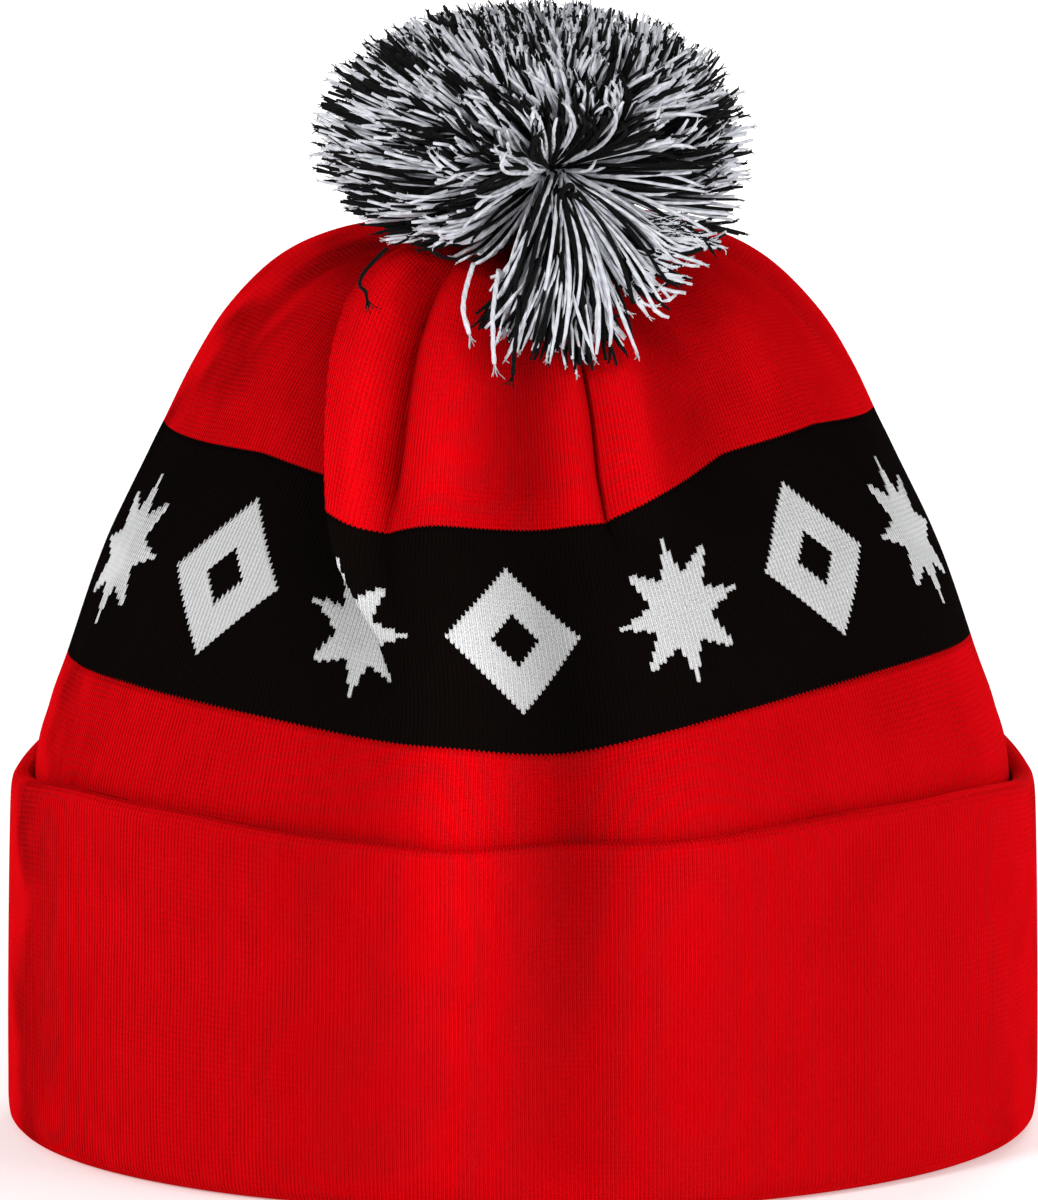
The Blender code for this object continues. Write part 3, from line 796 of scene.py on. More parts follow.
def cells_piece(name, cells, top, bottom, courses, painted_shades):
    """A thin closed piece made of the marked cells of a ring grid."""
    columns = top.shape[1]
    row, column = np.nonzero(cells)
    beside = (column + 1) % columns
    corners = ((row, column), (row, beside), (row + 1, beside), (row + 1, column))
    faces = np.stack([r * columns + c for r, c in corners], axis=-1)
    used, index = np.unique(faces, return_inverse=True)
    index = index.reshape(faces.shape)
    count = len(used)
    edges = np.concatenate([index[:, [i, (i + 1) % 4]] for i in range(4)])
    keys = edges[:, 0] * count + edges[:, 1]
    reverse = edges[:, 1] * count + edges[:, 0]
    rim = edges[~np.isin(keys, reverse)]
    walls = np.stack((rim[:, 1], rim[:, 0], rim[:, 0] + count, rim[:, 1] + count), axis=-1)
    points = np.vstack((top.reshape(-1, 3)[used], bottom.reshape(-1, 3)[used]))
    left, right = column / 2, (column + 1) / 2
    low, high = courses[row], courses[row] + 1
    top_uv = np.stack((np.stack((left, right, right, left), -1), np.stack((low, low, high, high), -1)), -1)
    wall_uv = np.zeros((len(walls), 4, 2))
    uvs = np.concatenate((top_uv, top_uv[:, ::-1], wall_uv)).reshape(-1, 2)
    faces = np.concatenate((index, index[:, ::-1] + count, walls))
    return make_mesh(name, points, faces, uvs, np.tile(painted_shades.ravel()[used], 2))


make_body()


# The cuff.

# Section of the cuff's outer layer, from its bottom fold up the outside and down the inside of its top
# fold: distance out from the body as a share of the cuff's, and height as a share of its height.
CUFF_SECTION = (
    (-0.48, 0.0),
    (0.30, 0.0),
    (0.62, 0.004),
    (0.86, 0.020),
    (0.965, 0.055),
    (1.0, 0.14),
    (0.985, 0.40),
    (0.93, 0.70),
    (0.87, 0.90),
    (0.82, 0.968),
    (0.72, 0.991),
    (0.50, 0.999),
    (0.27, 0.997),
    (0.13, 0.985),
    (0.14, 0.972),
    (0.42, 0.955),
    (0.54, 0.88),
    (0.62, 0.70),
    (0.67, 0.40),
    (0.67, 0.14),
    (0.62, 0.055),
    (0.48, 0.028),
    (-0.48, 0.026),
    (-0.58, 0.012),
)


CUFF_OUTSIDE = np.array([(height * CUFF_HEIGHT, out * CUFF_OUT) for out, height in CUFF_SECTION[1:12]]).T

# Waves round the cuff: depth, how many and where they start. Then how far its top edge waves, and how far
# it rises between the sides and the front or back.
CUFF_WAVES = ((0.35, 3, 0.6), (0.25, 7, 2.0))
EDGE_WAVE = (0.4, 4, 1.0)
CORNER_RISE = 4.8
BACKING = 1.2
BACKING_RIB = 0.06
FLOOR_GAP = 0.02


def waves(share, depth, count, start):
    return depth * np.sin(2 * math.pi * count * share + start)


def cuff_lift(share, angle, height):
    """How far the cuff is drawn up at a height, most at its top edge."""
    facing = np.abs(np.sin(angle))
    corners = smooth(facing, 0.05, 0.55) * (1 - 0.85 * smooth(facing, 0.74, 1.05))
    lift = waves(share, *EDGE_WAVE) * smooth(height, 30, CUFF_HEIGHT)
    return lift + CORNER_RISE * corners * smooth(height, 20, CUFF_HEIGHT)


def make_cuff_face():
    section = spline(np.array(CUFF_SECTION) * (CUFF_OUT, CUFF_HEIGHT), FINE // 2)
    length = along(section)
    stops = np.linspace(0, length[-1], int(length[-1] / COURSE))
    outs, heights = (np.interp(stops, length, section[:, i]) for i in range(2))
    tangents = normalised(np.gradient(np.stack((outs, heights), axis=-1), axis=0))
    share, middle = wale_columns(CUFF_WALES)
    angle = np.interp(share, SHARES, SHARE_ANGLES)
    loops, painted_shades = [], []
    for out, height, (ahead_out, ahead_up) in zip(outs, heights, tangents):
        off_rim = smooth(height, 3, 12)
        relief = low_relief(share, height)
        # Painted shade and highlight from the cuff's slow waves, none near its bottom fold.
        painted_shades.append(shade_from_relief(relief) * off_rim)
        relief = relief + off_rim * sum(waves(share, *wave) for wave in CUFF_WAVES)
        rib = RIB_DEPTH * (2 * middle - 1) * (0.35 if height < 0.6 else 1)
        dip = STITCH_DIP * COURSE * middle * (2 < height < CUFF_HEIGHT - 1)
        loop = surface(0 * share, angle, out + rib * ahead_up + relief)
        loop[:, 2] = height - rib * ahead_out * (height > 1) - dip * ahead_up
        loop[:, 2] = np.maximum(loop[:, 2] + cuff_lift(share, angle, height), FLOOR_GAP)
        loops.append(loop)
    item = ring_mesh("cuff_face_knit", np.array(loops), np.arange(len(loops)), CUFF_WALES, np.array(painted_shades))
    finish_piece(item, red_knit, "red_yarn", "cuff", "cuff_face")


def make_cuff_backing():
    low, high = box_mm("cuff_backing")
    outside = high[0] - HALF_WIDTH - 0.1
    rows = np.arange(low[2], high[2], LINING_COURSE)
    share, middle = wale_columns(LINING_WALES)
    angle = np.interp(share, SHARES, SHARE_ANGLES)
    rib = BACKING_RIB * (1 - 2 * middle)
    loops = []
    for offset, heights in ((outside, rows), (outside - BACKING, rows[::-1])):
        for height in heights:
            loop = surface(0 * share, angle, offset + rib + low_relief(share, height))
            loop[:, 2] = height
            loops.append(loop)
    courses = np.concatenate((rows, rows[::-1])) / LINING_COURSE
    item = ring_mesh("cuff_backing_knit", np.array(loops), courses, LINING_WALES)
    finish_piece(item, lining_knit, "red_yarn", "cuff", "cuff_backing")


make_cuff_face()
make_cuff_backing()


# The lining.


def lining_relief(length, share):
    """How far the lining moves: in, as deep as the body's dents near by, and never out into its ridges."""
    reach = np.linspace(-LINING_REACH, LINING_REACH, 13) / GIRTH
    near = [fold_relief(length, (share + step) % 1.0)[0] for step in reach]
    return np.minimum(np.min(near, axis=0), 0)


def lining_place(course, share, outward):
    """The lining's wrong side faces the body, so its right side, the relief, faces inwards."""
    length = course * LINING_COURSE
    angle = np.interp(share, SHARES, SHARE_ANGLES)
    offset = np.where(np.abs(outward) < 1, LINING_INSIDE - outward, outward)
    return surface(length, angle, lining_relief(length, share) + offset)


def lining_painted_shade(course, share):
    """Painted shade and highlight on the lining, which is seen from inside, where its dents are ridges and
    get painted highlight.
    """
    return -shade_from_relief(lining_relief(course * LINING_COURSE, share))


def make_lining():
    split = int(length_at(LINING_SPLIT) / LINING_COURSE)
    last = int((SIDE_LENGTH[-1] - 1) / LINING_COURSE)
    for node, courses in (("lining_wall", (2, split)), ("lining_crown", (split + 0.1, last))):
        layer = (node, lining_place, lining_painted_shade, courses, LINING_WALES, lining_knit, "lining_yarn")
        item = knitted_ring(*layer, inner=LINING_OUTSIDE)
        item.data.flip_normals()


make_lining()


# Yarn.

YARN_SIDES = 6


def frames_along(paths):
    """Two directions square to each path at each of its points."""
    tangent = normalised(np.gradient(paths, axis=1))
    helper = np.zeros_like(tangent)
    helper[..., 2] = 1
    steep = np.abs(tangent[:, :1, 2:3]) > 0.8
    helper = np.where(steep, np.array((1.0, 0, 0)), helper)
    side = normalised(np.cross(tangent, helper))
    return side, np.cross(tangent, side)


def yarn_tubes(paths, radii, lobes=0.16, pitch=5.0, sides=YARN_SIDES, start=None):
    """Points, faces and uvs of twisted two-ply strands along these paths, closed at both ends."""
    count, stops = paths.shape[:2]
    side, up = frames_along(paths)
    steps = np.linalg.norm(np.diff(paths, axis=1), axis=2)
    length = np.concatenate((np.zeros((count, 1)), np.cumsum(steps, axis=1)), axis=1)
    turn = np.arange(sides) * 2 * math.pi / sides
    phase = (length / pitch * 2 * math.pi)[..., None]
    if start is not None:
        phase = phase + start[:, None, None]
    reach = radii[..., None] * (1 + lobes * np.cos(2 * (turn - phase)))
    ring = side[:, :, None] * np.cos(turn)[:, None] + up[:, :, None] * np.sin(turn)[:, None]
    points = paths[:, :, None] + ring * reach[..., None]
    base = (np.arange(count) * stops * sides)[:, None]
    quads = (base[:, None] + quads_of(stops, sides)[None]).reshape(-1, 4)
    quads = quads[:, ::-1]
    cap = np.arange(sides)
    first = base + cap
    last = base + (stops - 1) * sides + cap[::-1]
    around = np.arange(sides + 1) / sides
    column = np.tile(np.arange(sides), stops - 1)
    row = np.repeat(np.arange(stops - 1), sides)
    u = np.stack((around[column], around[column + 1], around[column + 1], around[column]), -1)[None]
    v = np.stack((length[:, row], length[:, row], length[:, row + 1], length[:, row + 1]), -1)
    u = np.broadcast_to(u, v.shape)
    uvs = np.stack((u, v), -1)[:, :, ::-1].reshape(-1, 2)
    uvs = np.vstack((uvs, np.zeros((2 * count * sides, 2))))
    return points.reshape(-1, 3), [quads, np.vstack((first, last))], uvs


def join_parts(parts):
    """Several yarn_tubes results as one."""
    points, quads, caps, uvs, cap_uvs, base = [], [], {}, [], {}, 0
    for part_points, (part_quads, part_caps), part_uvs in parts:
        size = part_caps.shape[1]
        points.append(part_points)
        quads.append(part_quads + base)
        caps.setdefault(size, []).append(part_caps + base)
        uvs.append(part_uvs[: part_quads.size])
        cap_uvs.setdefault(size, []).append(part_uvs[part_quads.size :])
        base += len(part_points)
    faces = [np.vstack(quads)]
    for size in caps:
        faces.append(np.vstack(caps[size]))
        uvs.append(np.vstack(cap_uvs[size]))
    return np.vstack(points), faces, np.vstack(uvs)


def bezier(start, middle, end, stops):
    t = np.linspace(0, 1, stops)[None, :, None]
    return start[:, None] * (1 - t) ** 2 + middle[:, None] * 2 * t * (1 - t) + end[:, None] * t**2


# The pompom.

STRAND_CLUMPS = 1500
STRANDS_EACH = 3
STRAND_STOPS = 12
STRAND_RADIUS = 0.40
LOCKS = 90
TIE_LENGTH_SHARE = 24.0 / 28.7

UP = np.array((0, 0, 1.0))

random = np.random.default_rng(20)


def middle_of(node):
    low, high = box_mm(node)
    return (low + high) / 2


KNOT = middle_of("tie_knot")
TIE_AXIS = KNOT - middle_of("tie_cord")
POMPOM_CENTRE = KNOT - TIE_AXIS * TIE_LENGTH_SHARE
TIE_AXIS /= np.linalg.norm(TIE_AXIS)
TUFT_NODES = [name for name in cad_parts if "tuft" in name]


def tuft_surface():
    """The outside of the CAD tufts together, to aim strands at."""
    points, faces = [], []
    for name in TUFT_NODES:
        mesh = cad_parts[name].data
        base = len(points)
        points += [vertex.co / MM for vertex in mesh.vertices]
        faces += [[base + i for i in polygon.vertices] for polygon in mesh.polygons]
    return BVHTree.FromPolygons(points, faces)


TUFT_TREE = tuft_surface()


def reach_of(ray):
    """How far the CAD pompom stands out from its centre along a ray."""
    start = Vector(POMPOM_CENTRE + ray * 150)
    hit = TUFT_TREE.ray_cast(start, Vector(-ray))
    return 150 - hit[3] if hit[0] is not None else 20.0


def spread_rays(count):
    """Directions spread evenly over a sphere."""
    index = np.arange(count) + 0.5
    height = 1 - 2 * index / count
    turn = index * math.pi * (1 + math.sqrt(5))
    flat = np.sqrt(1 - height**2)
    return np.stack((flat * np.cos(turn), flat * np.sin(turn), height), axis=-1)


def keep_over_crown(paths):
    """Raises points that would sink into the crown, with room for the pompom to swing and nod."""
    x, y = paths[..., 0], paths[..., 1]
    out = np.hypot(x, y / DEPTH_RATIO)
    order = np.argsort(SIDE[:, 0], kind="stable")
    crown = np.interp(out, SIDE[order, 0], SIDE[order, 1])
    crown = np.where(out < 25, CROWN_TOP, crown)
    lift = 4.0 + 0.21 * np.abs(x) + 0.08 * np.maximum(-y, 0) + 0.44 * np.maximum(y, 0)
    paths[..., 2] = np.maximum(paths[..., 2], crown + lift)
    return paths


# Where strands start along the tie from the pompom's centre, and the arc that the fringe's tips reach.
TIE_START = 17.0
FRINGE_STRANDS = 480
SWIRL = 4.5
TOP_SHORTER = 0.21
FRINGE_ARC = (
    (-10.0, -50.5, 178.5),
    (-3.0, -53.0, 174.5),
    (7.0, -53.5, 172.5),
    (17.0, -51.5, 171.5),
    (31.0, -42.5, 174.5),
    (44.0, -23.0, 183.0),
)


def fringe_paths():
    """Strands that leave the tie and droop over the crown at the front, and the clump each is in."""
    clumps = FRINGE_STRANDS // 3
    clump = np.repeat(np.arange(clumps), 3)
    arc = spline(FRINGE_ARC, 200)
    place = (random.random(clumps)[clump] + random.normal(0, 0.02, len(clump))).clip(0, 1)
    edge = arc[(place * 199).astype(int)]
    start = POMPOM_CENTRE + TIE_AXIS * TIE_START + random.normal(0, 0.9, (len(clump), 3))
    tips = start + (edge - start) * random.uniform(0.68, 1.02, (len(clump), 1))
    tips += random.normal(0, 0.8, start.shape)
    height = random.random(clumps)[clump][:, None]
    bend = start + (tips - start) * 0.45 + TIE_AXIS * (3 + 12 * height) + UP * (1 + 5 * height)
    side = SWIRL * 0.8 * normalised(np.cross(TIE_AXIS, tips - start))
    bend += side * random.normal(0, 1, clumps)[clump][:, None] + random.normal(0, 1.2, start.shape)
    return bezier(start, bend, tips, STRAND_STOPS), clump


def ball_paths():
    """Strands that stand out from the tie to the pompom's surface, and the clump each is in."""
    locks = normalised(random.normal(0, 1, (LOCKS, 3)))
    clump_rays = normalised(spread_rays(STRAND_CLUMPS) + random.normal(0, 0.03, (STRAND_CLUMPS, 3)))
    lock = (clump_rays @ locks.T).argmax(axis=1)
    clump_rays = normalised(clump_rays + 0.22 * locks[lock])
    clump = np.repeat(np.arange(STRAND_CLUMPS), STRANDS_EACH)
    rays = normalised(clump_rays[clump] + random.normal(0, 0.032, (len(clump), 3)))
    polar = np.arccos(np.clip(rays @ TIE_AXIS, -1, 1))
    keep = polar > math.radians(36)
    rays, clump, polar = rays[keep], clump[keep], polar[keep]
    reach = np.array([reach_of(ray) for ray in rays])
    reach *= random.uniform(0.92, 1.0, len(reach)) * (1 - TOP_SHORTER * np.maximum(rays[:, 2], 0) ** 2)
    ring = normalised(rays - (rays @ TIE_AXIS)[:, None] * TIE_AXIS)
    front = np.clip(1 - polar / math.radians(125), 0, 1)[:, None] ** 0.45
    tips = POMPOM_CENTRE + rays * reach[:, None]
    layer = (random.random(STRAND_CLUMPS)[clump] * 0.75 + random.random(len(clump)) * 0.25)[:, None]
    start = POMPOM_CENTRE + ring * random.uniform(1.0, 3.2, (len(rays), 1)) + TIE_AXIS * front * TIE_START
    bend = start + TIE_AXIS * front * (4 + 18 * layer) + ring * reach[:, None] * (0.15 + 0.45 * layer)
    lock_swirl = random.normal(0, 1, LOCKS)[lock]
    swirl = SWIRL * (0.7 * lock_swirl + 0.7 * random.normal(0, 1, STRAND_CLUMPS))[clump]
    bend += np.cross(TIE_AXIS, ring) * swirl[:, None] + random.normal(0, 1.0, rays.shape)
    paths = bezier(start, bend, tips, STRAND_STOPS)
    t = np.linspace(0, 1, STRAND_STOPS)[None, :, None]
    paths += random.normal(0, 0.9, rays.shape)[:, None] * np.sin(math.pi * t) * t
    return paths, clump


def strand_paths():
    """Paths of all strands, the clump each is in and its direction square to the tie."""
    ball, ball_clump = ball_paths()
    fringe, fringe_clump = fringe_paths()
    paths = keep_over_crown(np.concatenate((ball, fringe)))
    clump = np.concatenate((ball_clump, fringe_clump + STRAND_CLUMPS))
    away = paths[:, -1] - POMPOM_CENTRE
    return paths, clump, normalised(away - (away @ TIE_AXIS)[:, None] * TIE_AXIS)


def tip_fibres(paths, count, length, radius):
    """Short fibres that splay from the tip of each strand."""
    tips = np.repeat(paths[:, -1], count, axis=0)
    heading = np.repeat(normalised(paths[:, -1] - paths[:, -2]), count, axis=0)
    splay = normalised(heading + random.normal(0, 0.34, heading.shape))
    size = random.uniform(0.5, 1.0, (len(tips), 1)) * length
    ends = tips + splay * size
    lines = bezier(tips - heading * 0.8, tips + heading * size * 0.4, ends, 4)
    radii = np.linspace(radius, radius * 0.45, 4)[None].repeat(len(tips), 0)
    return yarn_tubes(lines, radii, lobes=0.0, sides=3)


def strand_radii(count, stops, radius):
    profile = np.ones(stops)
    profile[-1] = 0.80
    return radius * random.uniform(0.85, 1.12, (count, 1)) * profile


def yarn_parts(paths, radius=STRAND_RADIUS, fray=0.55):
    radii = strand_radii(len(paths), paths.shape[1], radius)
    parts = [yarn_tubes(paths, radii, start=random.uniform(0, 6.28, len(paths)))]
    frayed = paths[random.random(len(paths)) < fray]
    if len(frayed):
        parts.append(tip_fibres(frayed, 3, 1.6, 0.22))
    return parts


def make_pompom():
    paths, clump, ring = strand_paths()
    white_clump = random.random(clump.max() + 1) < 0.50
    white = np.where(random.random(len(clump)) < 0.78, white_clump[clump], ~white_clump[clump])
    up = normalised(UP - TIE_AXIS * TIE_AXIS[2])
    side = np.cross(TIE_AXIS, up)
    turn = np.arctan2(ring @ side, ring @ up) % (2 * math.pi)
    sector = np.minimum((turn / (2 * math.pi) * 6).astype(int), 5)
    for pair in range(6):
        for number, colour, mine in ((1, "white", white), (2, "black", ~white)):
            node = f"{colour}_tuft_{2 * pair + number:02d}"
            parts = yarn_parts(paths[(sector == pair) & mine])
            item = make_mesh(node + "_strands", *join_parts(parts))
            finish_piece(item, *YARNS[colour], "pompom", node)


make_pompom()


# Radii of the cords and threads.
LOOSE_RADIUS = 0.45
DRAW_THREAD_RADIUS = 0.46
TETHER_RADIUS = 0.72
ANCHOR_RADIUS = 0.74
KNOT_RADIUS = 0.62
TIE_RADIUS = 0.8

# A closing seam: the length of a stitch, how far its threads reach sideways and twist, the radius of a
# thread, how far the seam lies out from the knit and how often its line is sampled.
SEAM_STITCH = 2.2
SEAM_HALF_WIDTH = 0.85
SEAM_TWIST = 0.25
SEAM_THREAD = 0.34
SEAM_OUT = 0.35
SEAM_SAMPLE = 0.3


def node_points(node):
    return np.array([vertex.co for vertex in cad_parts[node].data.vertices]) / MM


def group_means(points, order, count):
    """The middles of equal groups of points, taken in this order."""
    return np.array([points[group].mean(axis=0) for group in np.array_split(order, count)])


def centre_line(node, stops, from_low=True):
    """The middle line of a CAD cord, from its lowest point, by distance from that point."""
    points = node_points(node)
    distance = np.linalg.norm(points - points[points[:, 2].argmin()], axis=1)
    line = group_means(points, np.argsort(distance), stops)
    return line if from_low else line[::-1]


def ring_line(node, stops):
    """The middle line of a CAD ring that lies level, closed on itself."""
    points = node_points(node)
    turn = np.arctan2(points[:, 1], points[:, 0])
    line = group_means(points, np.argsort(turn), stops)
    return np.vstack((line, line[:2]))


def knot_line(centre, across, beside, axis, radius, height):
    """An overhand knot pulled round its own centre."""
    turn = np.linspace(0, 2 * math.pi, 73)[:, None]
    reach = radius * (2 + np.cos(3 * turn)) / 3
    flat = reach * (np.cos(2 * turn) * across + np.sin(2 * turn) * beside)
    return centre + flat + height * np.sin(3 * turn) * axis


def cord_piece(node, body, colour, line, radius, pitch, lobes=0.16, fray=0.0):
    """Twisted yarn along a line, with splayed fibres at its last point if it is frayed."""
    path = spline(line, 4 * len(line))[None]
    parts = [yarn_tubes(path, strand_radii(1, path.shape[1], radius), lobes, pitch, sides=10)]
    if fray:
        parts.append(tip_fibres(path, 6, fray, 0.2))
    item = make_mesh(node + "_yarn", *join_parts(parts))
    return finish_piece(item, *YARNS[colour], body, node)


def seam_piece(node, body, line):
    """A closing seam: two threads that cross over and over along a line at the centre back."""
    ahead = normalised(np.gradient(line, axis=0))
    outward = np.cross(ahead, (1.0, 0, 0))
    phase = along(line) * math.pi / SEAM_STITCH
    parts = []
    for side in (-1, 1):
        path = line + SEAM_HALF_WIDTH * side * np.sin(phase)[:, None] * (1.0, 0, 0)
        path = path + SEAM_TWIST * side * np.cos(phase)[:, None] * outward
        parts.append(yarn_tubes(path[None], strand_radii(1, len(path), SEAM_THREAD)))
    item = make_mesh(node + "_stitches", *join_parts(parts))
    finish_piece(item, *YARNS["red"], body, node)


def seam_lengths(first):
    """Distances up the outline from the first to just under the gathered hole."""
    return np.linspace(first, SIDE_LENGTH[-1] - 5, int((SIDE_LENGTH[-1] - first) / SEAM_SAMPLE))


def make_seams():
    length = seam_lengths(length_at(CUFF_HEIGHT + 3))
    seam_piece("back_seam", "shell", folded(length, 0 * length, SEAM_OUT))
    length = np.linspace(4, SIDE_LENGTH[-1] - 5, int(SIDE_LENGTH[-1] / SEAM_SAMPLE))
    inward = lining_relief(length, 0 * length) + LINING_INSIDE - SEAM_OUT
    seam_piece("lining_seam", "shell", surface(length, SHARE_ANGLES[0] + 0 * length, inward))
    low, high = box_mm("cuff_seam")
    height = np.linspace(low[2] + 0.5, high[2] - 0.5, int((high[2] - low[2]) / SEAM_SAMPLE))
    out = np.interp(height, *CUFF_OUTSIDE) + low_relief(0 * height, height) + SEAM_OUT
    line = surface(0 * height, SHARE_ANGLES[0] + 0 * height, out)
    line[:, 2] = height
    seam_piece("cuff_seam", "cuff", line)


def make_cords():
    for number in range(1, 5):
        node = f"loose_strand_{number}"
        colour = "white" if number % 2 else "black"
        line = centre_line(node, 7, from_low=False)
        cord_piece(node, "pompom", colour, line, LOOSE_RADIUS, pitch=6.0, lobes=0.12, fray=4.0)
    for node in ("crown_draw_thread", "lining_draw_thread"):
        cord_piece(node, "shell", "red", ring_line(node, 36), DRAW_THREAD_RADIUS, pitch=3.2)
    for side in ("left", "right"):
        node = f"anchor_tail_{side}"
        line = centre_line(node, 4, from_low=False)
        cord_piece(node, "shell", "red", line, TETHER_RADIUS, pitch=4.0, fray=2.6)
        node = f"tether_cord_{side}"
        cord_piece(node, "tether", "red", centre_line(node, 3), TETHER_RADIUS, pitch=4.0)
    x, y, z = np.eye(3)
    line = knot_line(middle_of("anchor_knot") * z, x, y, z, 4.4, 1.3)
    cord_piece("anchor_knot", "shell", "red", line, ANCHOR_RADIUS, pitch=4.0)
    up = normalised(z - TIE_AXIS * TIE_AXIS[2])
    line = knot_line(KNOT, up, np.cross(TIE_AXIS, up), TIE_AXIS, 2.6, 1.0)
    cord_piece("tie_knot", "pompom", "black", line, KNOT_RADIUS, pitch=3.6)
    cord_piece("tie_cord", "pompom", "black", centre_line("tie_cord", 5), TIE_RADIUS, pitch=3.6)


make_cords()
make_seams()


# The care label.

# The label's hems, the ripple of its cloth as a share of half its thickness, and its stitches.
LABEL_HEM = 2.4
LABEL_RIPPLE = 0.14
LABEL_STITCH = 1.5
LABEL_STITCH_STEP = 2.2


def label_frame():
    """The label's middle line, its directions across and through, its half sizes and its two ends."""
    corners = node_points("care_label")
    low, high = corners.min(axis=0), corners.max(axis=0)
    middle = (low + high) / 2 * (1, 1, 0)
    flat = corners[:, :2] - middle[:2]
    _, _, axes = np.linalg.svd(flat - flat.mean(axis=0), full_matrices=False)
    half_width = np.abs(flat @ axes[0]).max() - 0.1
    half_thick = np.abs(flat @ axes[1]).max() - 0.03
    return middle, np.array((*axes[0], 0)), np.array((*axes[1], 0)), half_width, half_thick, low[2], high[2]


def make_label():
    """A blank woven label with folded hems at its ends and a row of stitches along each hem."""
    middle, across, through, half_width, half_thick, bottom, top = label_frame()
    u, v = np.meshgrid(np.linspace(-1, 1, 61), np.linspace(0, 1, 91))
    height = bottom + 0.1 + v * (top - bottom - 0.2)
    from_end = np.minimum(height - bottom, top - height)
    thick = half_thick * (0.62 + 0.38 * smooth(LABEL_HEM - from_end, -0.2, 0.2))
    thick = thick * np.sqrt(1 - 0.75 * smooth(np.abs(u), 0.97, 1.0))
    ripple = LABEL_RIPPLE * half_thick * np.sin(u * 5 + v * 3) * np.sin(v * math.pi)
    sides = []
    for face in (1, -1):
        depth = (ripple + face * (thick - LABEL_RIPPLE * half_thick))[..., None]
        sides.append(middle + u[..., None] * half_width * across + depth * through + height[..., None] * UP)
    rows, columns = u.shape
    ring = np.concatenate((sides[0], sides[1][:, ::-1]), axis=1)
    faces = [quads_of(rows, 2 * columns)]
    for row in (0, rows - 1):
        index = row * 2 * columns + np.arange(columns)
        back = row * 2 * columns + 2 * columns - 1 - np.arange(columns)
        lid = np.stack((index[:-1], back[:-1], back[1:], index[1:]), axis=-1)
        faces.append(lid if row == 0 else lid[:, ::-1])
    item = make_mesh("care_label_cloth", ring.reshape(-1, 3), np.vstack(faces))
    finish_piece(item, label_cloth, "label_cloth", "label", "care_label")

    t = np.linspace(0, 1, 7)[:, None]
    parts = []
    for end in (bottom + LABEL_HEM, top - LABEL_HEM):
        for k in range(int(2 * half_width / LABEL_STITCH_STEP)):
            x = -half_width + 1.4 + LABEL_STITCH_STEP * k
            for face in (1, -1):
                out = face * (half_thick * 0.9 + 0.14 * (np.sin(math.pi * t) - 0.6))
                stitch = middle + across * (x + LABEL_STITCH * t) + through * out + UP * end
                parts.append(yarn_tubes(stitch[None], np.full((1, 7), 0.15)))
    item = make_mesh("care_label_stitches", *join_parts(parts))
    finish_piece(item, white_strand, "label_cloth", "label")


make_label()


# Stage.


# Strengths of the light from all sides and of the backdrop and floor as seen; the floor looks brighter with
# distance from the hat. Lights: place in metres, size and power. The camera is a long lens a little above.
AMBIENT = 0.36
BACKDROP = 1.0
FLOOR_SIZE = 6.0
FLOOR_DROP = 0.2
FLOOR_COLOUR = (0.93, 0.93, 0.93, 1)
FLOOR_GLOW = 0.25
FLOOR_SEEN = (0.30, 0.665)
FLOOR_FADE = (0.5, 1.6)
LIGHT_TARGET = Vector((0, 0, 0.12))
LIGHTS = {
    "key": ((-1.3, -1.4, 1.0), 0.5, 26),
    "fill": ((1.5, -0.8, 0.6), 0.9, 14),
    "back": ((0.6, 1.8, 1.1), 1.0, 17),
}
CAMERA_ELEVATION = math.radians(12)
CAMERA_DISTANCE = 3.0
CAMERA_ASIDE = -0.6
VIEW_HEIGHT = 252.0
FRAME_BOTTOM = 0.2


def map_range(tree, value, low, high, to_low, to_high):
    node = tree.nodes.new("ShaderNodeMapRange")
    for socket, amount in zip(node.inputs, (value, low, high, to_low, to_high)):
        if isinstance(amount, bpy.types.NodeSocket):
            tree.links.new(amount, socket)
        else:
            socket.default_value = amount
    return node.outputs[0]


def seen_strength(tree, unseen, seen):
    """A strength that differs between what the camera sees and what lights the hat."""
    camera_ray = tree.nodes.new("ShaderNodeLightPath").outputs["Is Camera Ray"]
    return map_range(tree, camera_ray, 0.0, 1.0, unseen, seen)


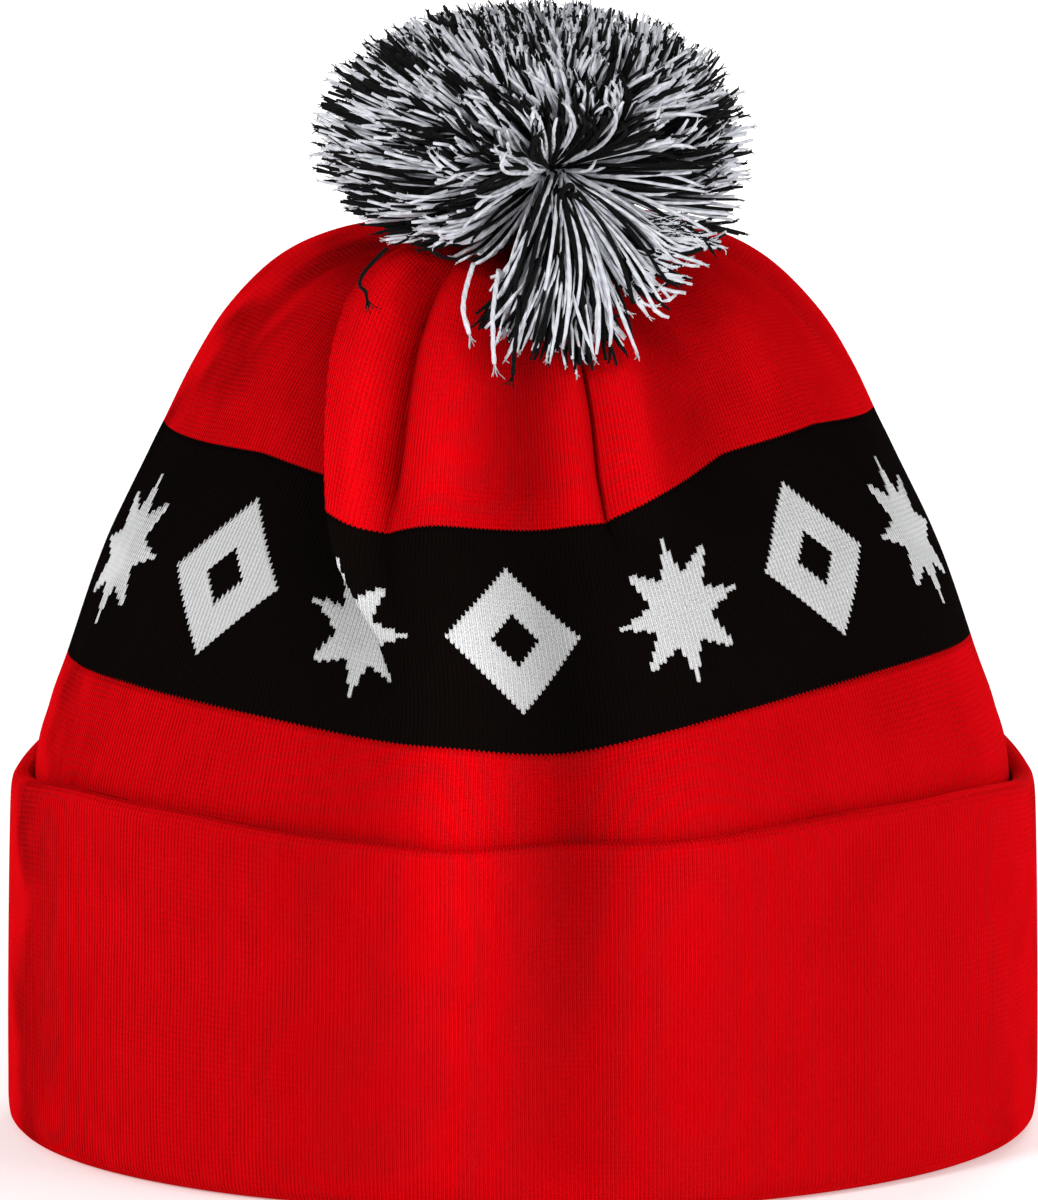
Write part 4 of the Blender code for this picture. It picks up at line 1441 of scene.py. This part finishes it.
def make_floor():
    """A pale floor that stays under the cuff, which the hat stands on, when the cuff is turned down."""
    mesh = bpy.data.meshes.new("floor")
    corners = [(x * FLOOR_SIZE, y * FLOOR_SIZE, 0) for x, y in ((-1, -1), (1, -1), (1, 1), (-1, 1))]
    mesh.from_pydata(corners, [], [(0, 1, 2, 3)])
    floor = add_object("floor", mesh)
    floor.location.z = -FLOOR_DROP * MM
    nodes = Nodes("floor_paper")
    distance = nodes.tree.nodes.new("ShaderNodeVectorMath")
    distance.operation = "LENGTH"
    nodes.put(distance.inputs[0], nodes.position())
    seen = map_range(nodes.tree, distance.outputs["Value"], *FLOOR_FADE, *FLOOR_SEEN)
    glow = seen_strength(nodes.tree, FLOOR_GLOW, seen)
    paper = nodes.finish(FLOOR_COLOUR, 0.9, Emission_Color=(1, 1, 1, 1), Emission_Strength=glow)
    mesh.materials.append(paper)
    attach(floor, "cuff")


def make_lights():
    world = bpy.data.worlds.new("studio")
    world.use_nodes = True
    background = world.node_tree.nodes["Background"]
    strength = seen_strength(world.node_tree, AMBIENT, BACKDROP)
    world.node_tree.links.new(strength, background.inputs["Strength"])
    background.inputs["Color"].default_value = (1, 1, 1, 1)
    bpy.context.scene.world = world
    for name, (place, size, power) in LIGHTS.items():
        data = bpy.data.lights.new(name, "AREA")
        data.size = size
        data.energy = power
        light = add_object(name, data)
        light.location = place
        light.rotation_euler = (LIGHT_TARGET - Vector(place)).to_track_quat("-Z", "Y").to_euler()


def make_camera():
    """A long lens, level with the hat's front and a little above, with the hat filling the frame."""
    data = bpy.data.cameras.new("camera")
    data.sensor_fit = "VERTICAL"
    data.sensor_height = 36
    data.lens = data.sensor_height * CAMERA_DISTANCE / (VIEW_HEIGHT * MM)
    camera = add_object("camera", data)
    back = Vector((0, -math.cos(CAMERA_ELEVATION), math.sin(CAMERA_ELEVATION)))
    up = Vector((0, math.sin(CAMERA_ELEVATION), math.cos(CAMERA_ELEVATION)))
    front_low = Vector((0, -(HALF_DEPTH + CUFF_OUT) * MM, 0))
    bottom = front_low.dot(up) - FRAME_BOTTOM * MM
    centre = up * (bottom + VIEW_HEIGHT / 2 * MM) + Vector((CAMERA_ASIDE * MM, 0, 0))
    camera.location = centre + back * CAMERA_DISTANCE
    camera.rotation_euler = (math.pi / 2 - CAMERA_ELEVATION, 0, 0)
    bpy.context.scene.camera = camera


make_floor()
make_lights()
make_camera()
bpy.context.scene.view_settings.view_transform = "Standard"
